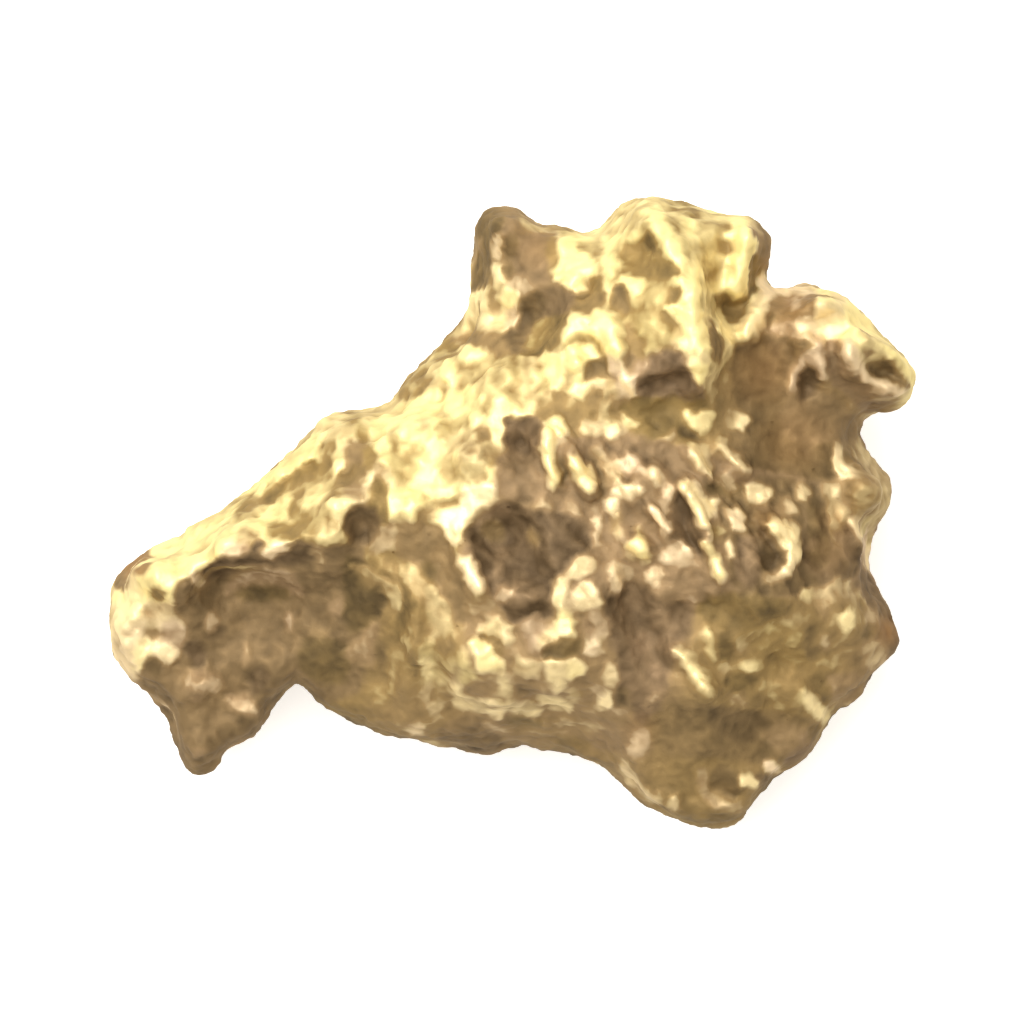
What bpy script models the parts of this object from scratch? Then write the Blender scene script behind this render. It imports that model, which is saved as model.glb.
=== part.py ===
"""A natural gold nugget, 20 mm long, lying on its broad side.

One piece of native gold: a ridge runs from the blunt left end up to two prongs at the top, a deep
hollow lies below it on the left, and pits open along its middle. Metres, +Z up. The origin is at
the middle of the footprint, at the height of the surface that the nugget rests on.

The plan is drawn on a square grid, 40 squares to a millimetre, across to the right and down.
"""

import math

import bmesh
import bpy
import numpy as np
from mathutils import Vector, noise

MM = 0.001
NAME = "gold_nugget"

# Driving dimensions
LENGTH = 20.05 * MM
PLAN_LENGTH = 802
SQUARE = LENGTH / PLAN_LENGTH
PLAN_CENTRE = (511.5, 511.5)
BLANK_THICKNESS = 6 * MM
TOP_EDGE_RADIUS = 0.65 * MM
UNDER_EDGE_RADIUS = 2.4 * MM
EDGE_FULLNESS = 2.5  # 2 would round the edge as a quarter circle, and more is blunter
LEAST_RISE = 0.3 * MM  # from the rim to the top, and to the underside
TOP_AT_EDGE = 1.5  # mm above the rim, before the edge is rounded
UNDER_AT_EDGE = -1.1
PAD_DEPTH = 0.35 * MM  # how much of the belly is worn away where it rests
LUMP_SIZES = ((2.8 * MM, 0.42 * MM), (1.3 * MM, 0.22 * MM), (0.6 * MM, 0.08 * MM))
RIM_WANDER = (1.7 * MM, 0.8 * MM)
LUMP_OFFSET = Vector((3.7, 1.3, 8.1))
EDGE_HOLD = 1.0 * MM  # lumps push the sides out only this far inside the footprint's edge
RIM_HOLD = 0.7 * MM  # and press them in only this far above or below the rim
FADE = 1.3  # a pit, mound or ridge ends at this many times its half width
WELD = 0.001 * MM
BLANK_VOXEL = 0.12 * MM
BODY_VOXEL = 0.11 * MM
TRIANGLES = 9500

# The footprint, clockwise from the blunt left end
OUTLINE = (
    (112, 577), (122, 563), (140, 547), (170, 539), (198, 522), (228, 507), (250, 486),
    (280, 458), (310, 428), (325, 413), (350, 409), (378, 407), (394, 399), (404, 382),
    (422, 359), (446, 339), (460, 320), (468, 297), (470, 272), (476, 250), (476, 226),
    (484, 211), (502, 207), (521, 211), (536, 221), (562, 225), (582, 230), (600, 230),
    (611, 213), (624, 199), (647, 194), (672, 199), (700, 209), (730, 215), (751, 219),
    (763, 233), (769, 258), (764, 277), (770, 288), (788, 287), (807, 282), (828, 288),
    (850, 301), (872, 325), (895, 347), (911, 370), (912, 389), (898, 403), (880, 410),
    (865, 414), (857, 430), (866, 446), (879, 459), (891, 475), (894, 499), (885, 515),
    (875, 527), (872, 555), (876, 583), (889, 604), (897, 630), (899, 645), (884, 661),
    (868, 684), (853, 700), (833, 707), (824, 726), (816, 750), (795, 765), (774, 778),
    (759, 795), (748, 817), (730, 827), (700, 826), (672, 817), (645, 803), (622, 779),
    (598, 763), (568, 750), (535, 746), (503, 747), (482, 751), (455, 746), (420, 740),
    (385, 733), (350, 719), (324, 704), (306, 683), (298, 669), (290, 683), (272, 704),
    (264, 722), (248, 738), (229, 744), (216, 762), (201, 777), (188, 774), (182, 758),
    (170, 734), (164, 710), (148, 692), (127, 671), (112, 652), (110, 625), (111, 600),
)  # fmt: skip

# Heights in mm at places of the plan: (across, down, height)
RIM_POSTS = (
    (112, 600, 3.3), (160, 690, 2.6), (200, 775, 1.9), (265, 715, 2.4), (298, 678, 3.0),
    (350, 720, 2.6), (480, 750, 2.1), (600, 763, 2.4), (700, 826, 2.3), (790, 768, 2.7),
    (870, 685, 2.9), (897, 635, 3.1), (872, 550, 3.2), (893, 495, 3.5), (858, 430, 3.3),
    (912, 382, 4.2), (850, 301, 4.7), (768, 285, 3.9), (768, 250, 4.7), (650, 195, 4.5),
    (590, 231, 3.6), (500, 207, 3.4), (470, 280, 3.0), (400, 390, 2.6), (320, 415, 2.8),
    (250, 487, 2.8), (140, 547, 3.3),
)  # fmt: skip
TOP_POSTS = (
    # the blunt left end and the crest that runs up from it
    (145, 590, 5.1), (140, 640, 4.5), (180, 575, 5.5), (230, 540, 5.8), (300, 530, 6.3),
    (350, 500, 6.6), (450, 480, 7.0), (500, 490, 7.3), (520, 400, 6.9),
    # the long slope above the crest
    (200, 532, 4.7), (260, 500, 4.9), (330, 440, 4.8), (400, 430, 5.5), (450, 380, 5.3),
    (480, 340, 5.2),
    # the hollow below it, and the foot
    (225, 585, 4.8), (230, 640, 4.2), (290, 585, 5.0), (290, 640, 4.3), (345, 585, 5.3),
    (345, 640, 4.7), (380, 560, 5.9), (190, 700, 4.0), (200, 750, 3.3), (250, 700, 3.8),
    (330, 690, 4.1), (385, 705, 4.4),
    # the buttress, the middle and the lower edge
    (420, 570, 6.4), (430, 640, 6.0), (440, 710, 4.5), (500, 700, 5.4), (560, 660, 6.6),
    (620, 430, 7.3), (600, 520, 7.4), (700, 480, 7.2), (680, 560, 7.2), (770, 520, 6.6),
    # the knob, the tall prong and the beak
    (500, 250, 5.0), (560, 260, 5.6), (590, 340, 6.9), (640, 230, 6.4), (680, 300, 7.6),
    (720, 240, 6.6), (700, 370, 7.4), (745, 355, 6.0), (790, 365, 5.8), (750, 410, 6.0),
    (800, 430, 5.6), (760, 460, 6.1), (790, 310, 6.1), (860, 345, 6.5), (890, 385, 5.7),
    # the right side and the lower lobe
    (860, 480, 5.4), (850, 560, 5.2), (800, 620, 6.0), (860, 640, 5.0), (700, 660, 6.5),
    (620, 710, 5.8), (720, 740, 5.3), (700, 800, 4.3), (790, 720, 4.8), (600, 740, 4.3),
)  # fmt: skip
UNDER_POSTS = (
    (200, 640, 1.7), (200, 730, 1.3), (250, 540, 1.3), (420, 450, 0.6), (430, 690, 0.6),
    (500, 300, 1.2), (560, 500, 0.4), (720, 280, 1.4), (840, 370, 2.5), (820, 480, 0.9),
    (850, 640, 1.0), (700, 790, 0.8), (570, 720, 0.6), (520, 380, 0.5), (640, 540, 0.4),
    (330, 600, 0.5),
)  # fmt: skip
# Where its belly comes down to the surface: (across, down, reach in squares, by how much in mm)
PADS = ((330, 585, 120, 0.95), (650, 370, 120, 0.75), (745, 660, 120, 0.85), (500, 650, 100, 0.5))

# Pits: (across, down, half length, half width, turn in degrees, depth in mm)
PITS = (
    (270, 588, 86, 24, 6, 0.20),  # the hollow, deepest under the crest
    (490, 532, 34, 25, 60, 0.45),  # the middle pit
    (518, 540, 38, 30, 90, 0.60),
    (532, 576, 26, 18, 0, 0.25),
    (628, 598, 34, 22, 80, 0.35),
    (642, 632, 40, 22, 100, 0.40),
    (672, 380, 30, 11, 12, 0.45),
    (660, 408, 42, 26, 0, 0.40),
    (536, 322, 34, 24, 60, 0.55),
    (645, 262, 27, 20, 10, 0.40),
    (522, 446, 28, 17, 80, 0.40),
    (728, 307, 18, 13, 80, 0.35),
    (366, 522, 20, 17, 80, 0.35),
    (355, 476, 22, 12, 120, 0.25),
    (805, 384, 18, 10, 70, 0.35),
    (886, 372, 24, 9, 160, 0.30),
    (590, 292, 22, 14, 90, 0.30),
    (450, 560, 40, 22, 60, 0.30),
    (745, 500, 40, 18, 125, 0.30),
    (805, 560, 46, 20, 100, 0.30),
    (700, 610, 46, 20, 175, 0.35),
    (775, 655, 46, 20, 160, 0.25),
    (560, 700, 60, 18, 0, 0.25),
    (250, 505, 26, 14, 30, 0.25),
    (300, 470, 44, 11, 30, 0.30),
    (405, 462, 26, 14, 120, 0.25),
)  # fmt: skip
# Mounds: (across, down, half length, half width, turn in degrees, height in mm)
MOUNDS = (
    (575, 362, 19, 18, 0, 0.40),
    (522, 592, 26, 18, 0, 0.45),
    (866, 487, 34, 26, 100, 0.45),
    (868, 548, 32, 14, 100, 0.30),
    (575, 262, 24, 34, 0, 0.35),
    (505, 232, 20, 22, 0, 0.40),
    (795, 308, 34, 16, 5, 0.35),
    (858, 345, 34, 20, 40, 0.35),
    (440, 372, 24, 18, 40, 0.30),
    (490, 372, 26, 18, 10, 0.28),
    (430, 425, 24, 20, 100, 0.32),
    (470, 455, 26, 22, 30, 0.32),
    (415, 500, 26, 18, 100, 0.30),
    (345, 445, 26, 20, 40, 0.30),
    (335, 500, 30, 18, 10, 0.30),
    (640, 480, 26, 16, 55, 0.30),
    (160, 575, 34, 22, 140, 0.35),
    (130, 625, 20, 26, 0, 0.30),
    (205, 682, 26, 14, 30, 0.30),
    (205, 745, 18, 22, 70, 0.30),
    (470, 650, 30, 20, 120, 0.35),
    (560, 650, 34, 22, 20, 0.30),
    (600, 590, 22, 34, 10, 0.30),
    (690, 690, 40, 22, 10, 0.30),
    (800, 700, 34, 18, 140, 0.35),
    (745, 780, 26, 16, 140, 0.30),
    (845, 620, 20, 34, 20, 0.30),
    (760, 600, 40, 18, 175, 0.25),
)  # fmt: skip
# Ridges: (half width in squares, height in mm, the line that it follows)
RIDGES = (
    (19, 0.50, ((648, 208), (662, 245), (682, 280), (694, 315), (697, 350), (696, 388))),
    (15, 0.50, ((746, 224), (744, 255), (736, 290))),
    (13, 0.40, ((768, 292), (753, 318), (742, 334))),
    (15, 0.40, ((818, 298), (850, 316), (882, 342), (906, 372))),
    (11, 0.40, ((840, 348), (852, 372), (878, 388), (902, 394))),
    (12, 0.40, ((800, 340), (816, 350), (818, 372))),
    (13, 0.45, ((462, 535), (466, 562), (480, 592))),
    (16, 0.45, ((556, 342), (580, 328), (604, 330), (614, 356))),
    (14, 0.35, ((385, 565), (418, 600), (420, 650), (402, 690))),
    (12, 0.30, ((455, 690), (480, 702), (505, 700), (530, 706), (560, 700))),
    (12, 0.35, ((845, 520), (862, 545), (868, 572))),
    (13, 0.30, ((668, 648), (690, 662), (704, 684))),
    (16, 0.40, ((180, 600), (205, 563), (250, 548), (300, 540), (345, 528))),
    (10, 0.30, ((545, 436), (549, 460), (556, 480))),
    (11, 0.35, ((566, 452), (578, 470), (592, 492))),
    (10, 0.30, ((688, 448), (698, 460), (710, 478))),
    (10, 0.30, ((717, 444), (728, 456), (741, 470))),
    (12, 0.35, ((682, 486), (692, 506), (702, 526))),
    (11, 0.30, ((702, 540), (710, 556), (720, 574))),
    (11, 0.35, ((764, 520), (780, 530), (790, 548), (784, 566))),
    (10, 0.30, ((645, 504), (656, 518), (668, 532))),
    (11, 0.30, ((630, 536), (644, 548))),
    (12, 0.30, ((640, 745), (652, 780), (684, 806), (745, 806))),
)  # fmt: skip


def place(across, down):
    """A point of the plan in metres, as (x, y)."""
    return (across - PLAN_CENTRE[0]) * SQUARE, (PLAN_CENTRE[1] - down) * SQUARE


def places(points):
    """Points of the plan in metres, as rows of (x, y)."""
    return np.array([place(*p[:2]) for p in points])


def clear_scene():
    for obj in list(bpy.data.objects):
        bpy.data.objects.remove(obj)


def footprint_blank():
    """The footprint as a slab: a closed smooth curve, filled and extruded."""
    curve = bpy.data.curves.new("footprint", "CURVE")
    curve.dimensions = "2D"
    curve.fill_mode = "BOTH"
    curve.extrude = BLANK_THICKNESS / 2
    curve.resolution_u = 4
    line = curve.splines.new("BEZIER")
    line.bezier_points.add(len(OUTLINE) - 1)
    line.use_cyclic_u = True
    for knot, spot in zip(line.bezier_points, OUTLINE):
        knot.co = (*place(*spot), 0)
        knot.handle_left_type = knot.handle_right_type = "AUTO"
    return mesh_object(bpy.data.objects.new("footprint", curve), "blank")


def mesh_object(source, name):
    """A mesh object with the source's evaluated shape; the source is removed."""
    bpy.context.scene.collection.objects.link(source)
    graph = bpy.context.evaluated_depsgraph_get()
    mesh = bpy.data.meshes.new_from_object(source.evaluated_get(graph))
    bpy.data.objects.remove(source)
    mesh.name = name
    return mesh


def with_modifiers(mesh, *settings):
    """The mesh after modifiers, each given as (type, its settings)."""
    obj = bpy.data.objects.new("worked", mesh)
    for kind, values in settings:
        modifier = obj.modifiers.new(kind.title(), kind)
        for name, value in values.items():
            setattr(modifier, name, value)
    return mesh_object(obj, mesh.name)


def remeshed(mesh, voxel):
    """The mesh welded and laid out again in even small faces."""
    weld = ("WELD", {"merge_threshold": WELD})
    remesh = ("REMESH", {"mode": "VOXEL", "voxel_size": voxel})
    return with_modifiers(mesh, weld, remesh)


def corners(mesh):
    found = np.empty(len(mesh.vertices) * 3, np.float32)
    mesh.vertices.foreach_get("co", found)
    return found.reshape(-1, 3).astype(float)


def set_corners(mesh, points):
    mesh.vertices.foreach_set("co", points.astype(np.float32).ravel())
    mesh.update()


def normals(mesh):
    found = np.empty(len(mesh.vertices) * 3, np.float32)
    mesh.vertex_normals.foreach_get("vector", found)
    return found.reshape(-1, 3).astype(float)


def sheet_over(posts):
    """The height of a thin sheet bent over posts of known height, as a function of rows of (x, y)."""
    at = places(posts) / LENGTH
    heights = np.array([post[2] for post in posts]) * MM

    def bend(a, b):
        gap = np.linalg.norm(a[:, None] - b[None], axis=2)
        return gap**2 * np.log(gap + 1e-9)

    def flat(a):
        return np.column_stack([np.ones(len(a)), a])

    n = len(posts)
    system = np.zeros((n + 3, n + 3))
    system[:n, :n] = bend(at, at)
    system[:n, n:] = flat(at)
    system[n:, :n] = flat(at).T
    weights = np.linalg.solve(system, np.concatenate([heights, np.zeros(3)]))

    def height(xy):
        spots = xy / LENGTH
        return bend(spots, at) @ weights[:n] + flat(spots) @ weights[n:]

    return height


def raised(posts, by):
    return tuple((across, down, height + by) for across, down, height in posts)


def gap_to_line(xy, line):
    """The distance from each row of (x, y) to a broken line."""
    nearest = np.full(len(xy), np.inf)
    for start, end in zip(line[:-1], line[1:]):
        run = end - start
        share = np.clip(((xy - start) @ run) / (run @ run), 0, 1)
        nearest = np.minimum(nearest, np.linalg.norm(xy - start - share[:, None] * run, axis=1))
    return nearest


def round_edge(gap, radius):
    """The share of its full height that a surface has at this gap from the edge: a full, round edge."""
    outward = 1 - np.clip(gap / radius, 0, 1)
    return (1 - outward**EDGE_FULLNESS) ** (1 / EDGE_FULLNESS)


def dome(share):
    """1 at the middle, 0 from share 1 outwards, smooth at both."""
    return np.clip(1 - share**2, 0, 1) ** 2


def oval_dome(xy, form):
    """The share of its full height that an oval pit or mound has at each row of (x, y)."""
    across, down, length, width, turn, _ = form
    offset = xy - np.array(place(across, down))
    angle = math.radians(turn)
    along = offset @ np.array([math.cos(angle), math.sin(angle)])
    aside = offset @ np.array([-math.sin(angle), math.cos(angle)])
    return dome(np.hypot(along / (length * SQUARE), aside / (width * SQUARE)) / FADE)


def rim_height(xy):
    """The height of the rim, the nugget's widest line, at each row of (x, y)."""
    return sheet_over(RIM_POSTS)(xy) + lumps(np.column_stack([xy, 0 * xy[:, 0]]), *RIM_WANDER)


def body_of(blank):
    """The blank bent to the nugget's own top, rim and underside."""
    edge = np.vstack([places(OUTLINE), places(OUTLINE[:1])])
    points = corners(blank)
    xy = points[:, :2]
    side = points[:, 2] / (BLANK_THICKNESS / 2)
    gap = gap_to_line(xy, edge)
    rim = rim_height(xy)
    top = sheet_over(TOP_POSTS + raised(RIM_POSTS, TOP_AT_EDGE))(xy)
    under = sheet_over(UNDER_POSTS + raised(RIM_POSTS, UNDER_AT_EDGE))(xy)
    for across, down, reach, drop in PADS:
        away = np.linalg.norm(xy - np.array(place(across, down)), axis=1)
        under -= drop * MM * dome(away / (reach * SQUARE))
    under = np.maximum(under, -PAD_DEPTH)
    over = np.maximum(top - rim, LEAST_RISE) * round_edge(gap, TOP_EDGE_RADIUS)
    below = np.maximum(rim - under, LEAST_RISE) * round_edge(gap, UNDER_EDGE_RADIUS)
    points[:, 2] = rim + np.where(side > 0, side * over, side * below)
    set_corners(blank, points)
    return remeshed(blank, BODY_VOXEL)


def lumps(points, size, height):
    """Rounded lumps of this size and height, at each row of (x, y, z)."""
    return height * np.array([noise.noise(Vector(p) / size + LUMP_OFFSET) for p in points])


def carve(body):
    """The body with its pits cut and its ridges raised on top, and lumps on every side."""
    points = corners(body)
    outward = normals(body)
    xy = points[:, :2]
    facing_up = np.clip(outward[:, 2] * 2, 0, 1)
    rise = np.zeros(len(points))
    for pit in PITS:
        rise -= pit[-1] * MM * oval_dome(xy, pit)
    for mound in MOUNDS:
        rise += mound[-1] * MM * oval_dome(xy, mound)
    for width, height, line in RIDGES:
        rise += height * MM * dome(gap_to_line(xy, places(line)) / (width * SQUARE * FADE))
    points[:, 2] += rise * facing_up
    swell = sum(lumps(points, size, height) for size, height in LUMP_SIZES)
    edge = np.vstack([places(OUTLINE), places(OUTLINE[:1])])
    free = np.clip(gap_to_line(xy, edge) / EDGE_HOLD, 0, 1)
    off_rim = np.clip(np.abs(points[:, 2] - rim_height(xy)) / RIM_HOLD, 0, 1)
    free = np.where(swell > 0, free, np.maximum(free, off_rim))
    points += outward * swell[:, None] * np.column_stack([free, free, np.ones(len(points))])
    set_corners(body, points)
    return remeshed(body, BODY_VOXEL)


def faceted(body):
    """The body smoothed and reduced to plain triangles."""
    share = TRIANGLES / (2 * len(body.polygons))
    return with_modifiers(
        body,
        ("SMOOTH", {"factor": 0.5, "iterations": 2}),
        ("DECIMATE", {"ratio": share, "use_collapse_triangulate": True}),
    )


def remove_crumbs(form):
    """Removes each piece that the cut left apart from the nugget."""
    unseen = set(form.verts)
    pieces = []
    while unseen:
        piece, front = set(), [next(iter(unseen))]
        while front:
            corner = front.pop()
            if corner not in piece:
                piece.add(corner)
                front += [edge.other_vert(corner) for edge in corner.link_edges]
        unseen -= piece
        pieces.append(piece)
    pieces.sort(key=len)
    crumbs = [corner for piece in pieces[:-1] for corner in piece]
    bmesh.ops.delete(form, geom=crumbs, context="VERTS")


def rested(body):
    """The body with its pads worn flat where they touch the surface."""
    form = bmesh.new()
    form.from_mesh(body)
    bmesh.ops.bisect_plane(
        form,
        geom=form.verts[:] + form.edges[:] + form.faces[:],
        dist=1e-7,
        plane_co=(0, 0, 0),
        plane_no=(0, 0, 1),
        clear_inner=True,
    )
    remove_crumbs(form)
    open_edges = [edge for edge in form.edges if edge.is_boundary]
    pads = bmesh.ops.holes_fill(form, edges=open_edges, sides=0)["faces"]
    bmesh.ops.triangulate(form, faces=pads)
    bmesh.ops.recalc_face_normals(form, faces=form.faces[:])
    form.to_mesh(body)
    form.free()
    return body


def centred(body):
    """The body with the middle of its footprint at the origin."""
    points = corners(body)
    low, high = points.min(axis=0), points.max(axis=0)
    middle = (low + high) / 2
    set_corners(body, points - [middle[0], middle[1], low[2]])
    return body


def gold():
    material = bpy.data.materials.new("native_gold")
    material.use_nodes = True
    shader = material.node_tree.nodes["Principled BSDF"]
    shader.inputs["Base Color"].default_value = (0.86, 0.62, 0.25, 1)
    shader.inputs["Metallic"].default_value = 1.0
    shader.inputs["Roughness"].default_value = 0.36
    return material


def main():
    clear_scene()
    blank = remeshed(footprint_blank(), BLANK_VOXEL)
    body = centred(rested(faceted(carve(body_of(blank)))))
    body.materials.clear()
    body.materials.append(gold())
    body.shade_flat()
    nugget = bpy.data.objects.new(NAME, body)
    collection = bpy.data.collections.new(NAME)
    bpy.context.scene.collection.children.link(collection)
    collection.objects.link(nugget)


main()
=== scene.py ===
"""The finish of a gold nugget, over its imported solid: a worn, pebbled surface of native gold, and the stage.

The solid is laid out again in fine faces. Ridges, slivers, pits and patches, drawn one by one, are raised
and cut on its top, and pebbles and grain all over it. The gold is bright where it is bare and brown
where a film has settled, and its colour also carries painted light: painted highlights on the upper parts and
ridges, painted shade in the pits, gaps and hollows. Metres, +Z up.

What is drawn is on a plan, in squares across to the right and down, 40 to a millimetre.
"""

import math

import bmesh
import bpy
import numpy as np
from bpy.props import FloatProperty, FloatVectorProperty, PointerProperty
from mathutils import Matrix, Vector, noise


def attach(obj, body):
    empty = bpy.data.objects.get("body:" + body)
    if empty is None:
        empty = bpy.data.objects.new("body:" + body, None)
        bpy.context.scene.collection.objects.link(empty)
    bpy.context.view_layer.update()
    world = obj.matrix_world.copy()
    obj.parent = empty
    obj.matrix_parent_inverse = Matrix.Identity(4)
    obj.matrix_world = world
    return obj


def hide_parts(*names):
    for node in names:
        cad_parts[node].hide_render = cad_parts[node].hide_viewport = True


bl_info = {
    "name": "Gold nugget",
    "version": (1, 0, 0),
    "blender": (4, 5, 0),
    "location": "3D View > Sidebar > Nugget",
    "description": "Gives a gold nugget its worn, pebbled surface, and a stage to stand on",
    "category": "Object",
}

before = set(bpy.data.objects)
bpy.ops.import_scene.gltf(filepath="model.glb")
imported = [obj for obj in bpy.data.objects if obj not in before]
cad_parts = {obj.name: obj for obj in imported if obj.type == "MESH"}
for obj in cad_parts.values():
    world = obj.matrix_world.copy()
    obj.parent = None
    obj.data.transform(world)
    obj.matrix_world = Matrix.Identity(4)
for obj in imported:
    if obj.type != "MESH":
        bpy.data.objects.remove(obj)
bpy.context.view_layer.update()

MM = 0.001
NODE = "gold_nugget"
MOST_FACES = 196000  # triangles of the finished surface
MERGE_GAP = 0.001 * MM  # corners of the solid this close are one

# The plan
SQUARE = 0.025 * MM
PLAN_ORIGIN = (511.0, 513.5)
PLAN_MIDDLE = (512.0, 512.0)
PLAN_SIDE = 1024

# What is drawn
FADE = 1.3  # a pit, mound or ridge ends at this many times its half width
CARVED = 0.27  # the share of a drawn height that is raised or cut
FULL_RUB_AND_LIGHT = 0.22  # a ridge drawn this high in mm is painted fully lighter, as bare gold and painted highlight, and a cut this deep fully darker, as film and painted shade
RUB_AND_LIGHT_SHARE = 0.2  # a full ridge lightens by this share of the film that is left, as bare gold and painted highlight, and a full cut darkens by this share of its bare gold, as film and painted shade
PATCH_EDGE = 0.22 * MM  # a patch fades out over this width
EDGE_OUTSIDE = 0.6  # the share of that width that is outside its outline
PATCH_RELIEF = 0.12 * MM  # clean gold stands this far above gold that is all film
PATCH_SMOOTHING = 0.2  # a patch takes away this share of the pebbles under it
FRAY = 0.05 * MM  # drawn edges wander about this far
BLEND = 12 * SQUARE  # the nearest region rules alone about this far from its place

# What is all over the surface
SWELL = 0.06 * MM  # height of the broad, soft unevenness
GRAIN = 0.016 * MM  # height of the finest grain
OFF_FLOOR = 0.3 * MM  # the relief comes in over this height, so that the nugget still rests flat
WHOLE_RELIEF = 0.4  # a face whose normal rises this much has all of the drawn relief
NO_COLOUR = 0.03  # a face whose normal rises less than this has none of the patches' colour
TO_WHOLE_COLOUR = 0.3  # and one whose normal rises this much more has all of it
SUNK = 0.3 * MM  # a place this deep between the pebbles is all film, which also paints the shade in the gaps
HALF_TONE = 0.52  # the tone, bare gold against film with painted light and shade in it, at which the colour is gold with half of its film gone

# The stage
GLOW_RISE = math.radians(12)  # how high the middle of the window's light is
FLOOR_GLOW = 0.55
SOFTBOX_SIDE = 0.11
SOFTBOX_DISTANCE = 0.12
RIM_HEIGHT = 3.4 * MM  # the camera is framed on the nugget at this height

# How the surface changes over the nugget, at places of the plan:
# (across, down, clean gold with painted light, pebbles, slivers, brown tint), each from 0 to 1.
# Clean gold is bare gold against film and painted light in one: high, painted lighter, on the upper part
# turned to the light, low, painted darker, on the lower part and in the hollows.
REGIONS = (
    (160, 575, 0.98, 0.5, 0.0, 0.1),
    (128, 600, 0.96, 0.4, 0.0, 0.4),
    (150, 640, 0.86, 0.7, 0.0, 0.7),
    (190, 680, 0.45, 0.4, 0.0, 0.7),
    (200, 745, 0.38, 0.4, 0.0, 0.6),
    (240, 700, 0.36, 0.3, 0.0, 0.6),
    (215, 540, 0.92, 0.7, 0.0, 0.1),
    (280, 475, 0.92, 0.7, 0.0, 0.0),
    (270, 520, 0.82, 0.8, 0.0, 0.1),
    (330, 430, 0.80, 0.8, 0.0, 0.2),
    (330, 490, 0.70, 0.7, 0.0, 0.3),
    (365, 470, 0.60, 0.7, 0.0, 0.5),
    (300, 580, 0.27, 0.1, 0.0, 0.6),
    (240, 620, 0.33, 0.2, 0.0, 0.6),
    (350, 620, 0.27, 0.2, 0.0, 0.3),
    (330, 690, 0.36, 0.2, 0.0, 0.2),
    (400, 440, 0.86, 0.9, 0.0, 0.1),
    (450, 380, 0.75, 1.0, 0.0, 0.1),
    (430, 500, 0.90, 0.8, 0.0, 0.1),
    (490, 460, 0.77, 0.8, 0.1, 0.3),
    (490, 400, 0.71, 1.0, 0.0, 0.1),
    (490, 310, 0.72, 0.7, 0.0, 0.2),
    (500, 240, 0.45, 0.4, 0.0, 0.5),
    (535, 260, 0.45, 0.2, 0.0, 0.6),
    (575, 260, 1.00, 0.2, 0.0, 0.1),
    (580, 380, 0.72, 0.8, 0.0, 0.2),
    (640, 240, 0.78, 0.8, 0.0, 0.1),
    (640, 330, 0.72, 0.8, 0.0, 0.1),
    (690, 250, 0.82, 0.6, 0.0, 0.1),
    (742, 240, 1.00, 0.3, 0.0, 0.0),
    (740, 280, 0.98, 0.3, 0.0, 0.0),
    (765, 250, 0.40, 0.3, 0.0, 0.5),
    (710, 340, 0.72, 0.5, 0.1, 0.1),
    (790, 310, 0.60, 0.3, 0.0, 0.9),
    (830, 310, 0.90, 0.4, 0.0, 0.2),
    (850, 350, 0.65, 0.4, 0.0, 0.4),
    (885, 338, 0.98, 0.3, 0.0, 0.1),
    (906, 368, 1.00, 0.2, 0.0, 0.1),
    (780, 400, 0.30, 0.1, 0.0, 0.5),
    (770, 450, 0.32, 0.2, 0.1, 0.5),
    (820, 420, 0.42, 0.3, 0.1, 0.5),
    (680, 420, 0.42, 0.3, 0.1, 0.1),
    (660, 385, 0.40, 0.2, 0.1, 0.9),
    (560, 460, 0.55, 0.3, 0.8, 0.7),
    (620, 480, 0.50, 0.3, 1.0, 0.8),
    (700, 500, 0.48, 0.2, 1.0, 0.7),
    (760, 540, 0.48, 0.2, 1.0, 0.7),
    (820, 520, 0.45, 0.3, 0.7, 0.6),
    (512, 548, 0.22, 0.2, 0.1, 1.0),
    (640, 625, 0.24, 0.2, 0.2, 1.0),
    (590, 600, 0.60, 0.4, 0.5, 0.6),
    (400, 570, 0.50, 0.2, 0.0, 0.1),
    (430, 640, 0.55, 0.2, 0.0, 0.1),
    (450, 560, 0.50, 0.2, 0.1, 0.1),
    (470, 620, 0.52, 0.4, 0.2, 0.3),
    (520, 690, 0.60, 0.6, 0.2, 0.4),
    (560, 640, 0.60, 0.5, 0.2, 0.5),
    (420, 720, 0.42, 0.3, 0.0, 0.4),
    (500, 738, 0.40, 0.2, 0.0, 0.6),
    (600, 740, 0.42, 0.2, 0.0, 0.4),
    (640, 700, 0.45, 0.3, 0.1, 0.6),
    (720, 590, 0.44, 0.4, 0.4, 0.1),
    (780, 640, 0.48, 0.4, 0.2, 0.1),
    (720, 670, 0.46, 0.4, 0.2, 0.2),
    (850, 620, 0.44, 0.5, 0.1, 0.3),
    (890, 635, 0.28, 0.2, 0.0, 0.8),
    (862, 480, 0.60, 0.4, 0.1, 0.5),
    (864, 550, 0.60, 0.3, 0.1, 1.0),
    (800, 690, 0.50, 0.4, 0.1, 0.2),
    (700, 740, 0.40, 0.2, 0.0, 0.2),
    (700, 800, 0.34, 0.2, 0.0, 0.2),
    (770, 760, 0.48, 0.3, 0.0, 0.3),
)  # fmt: skip
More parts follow.
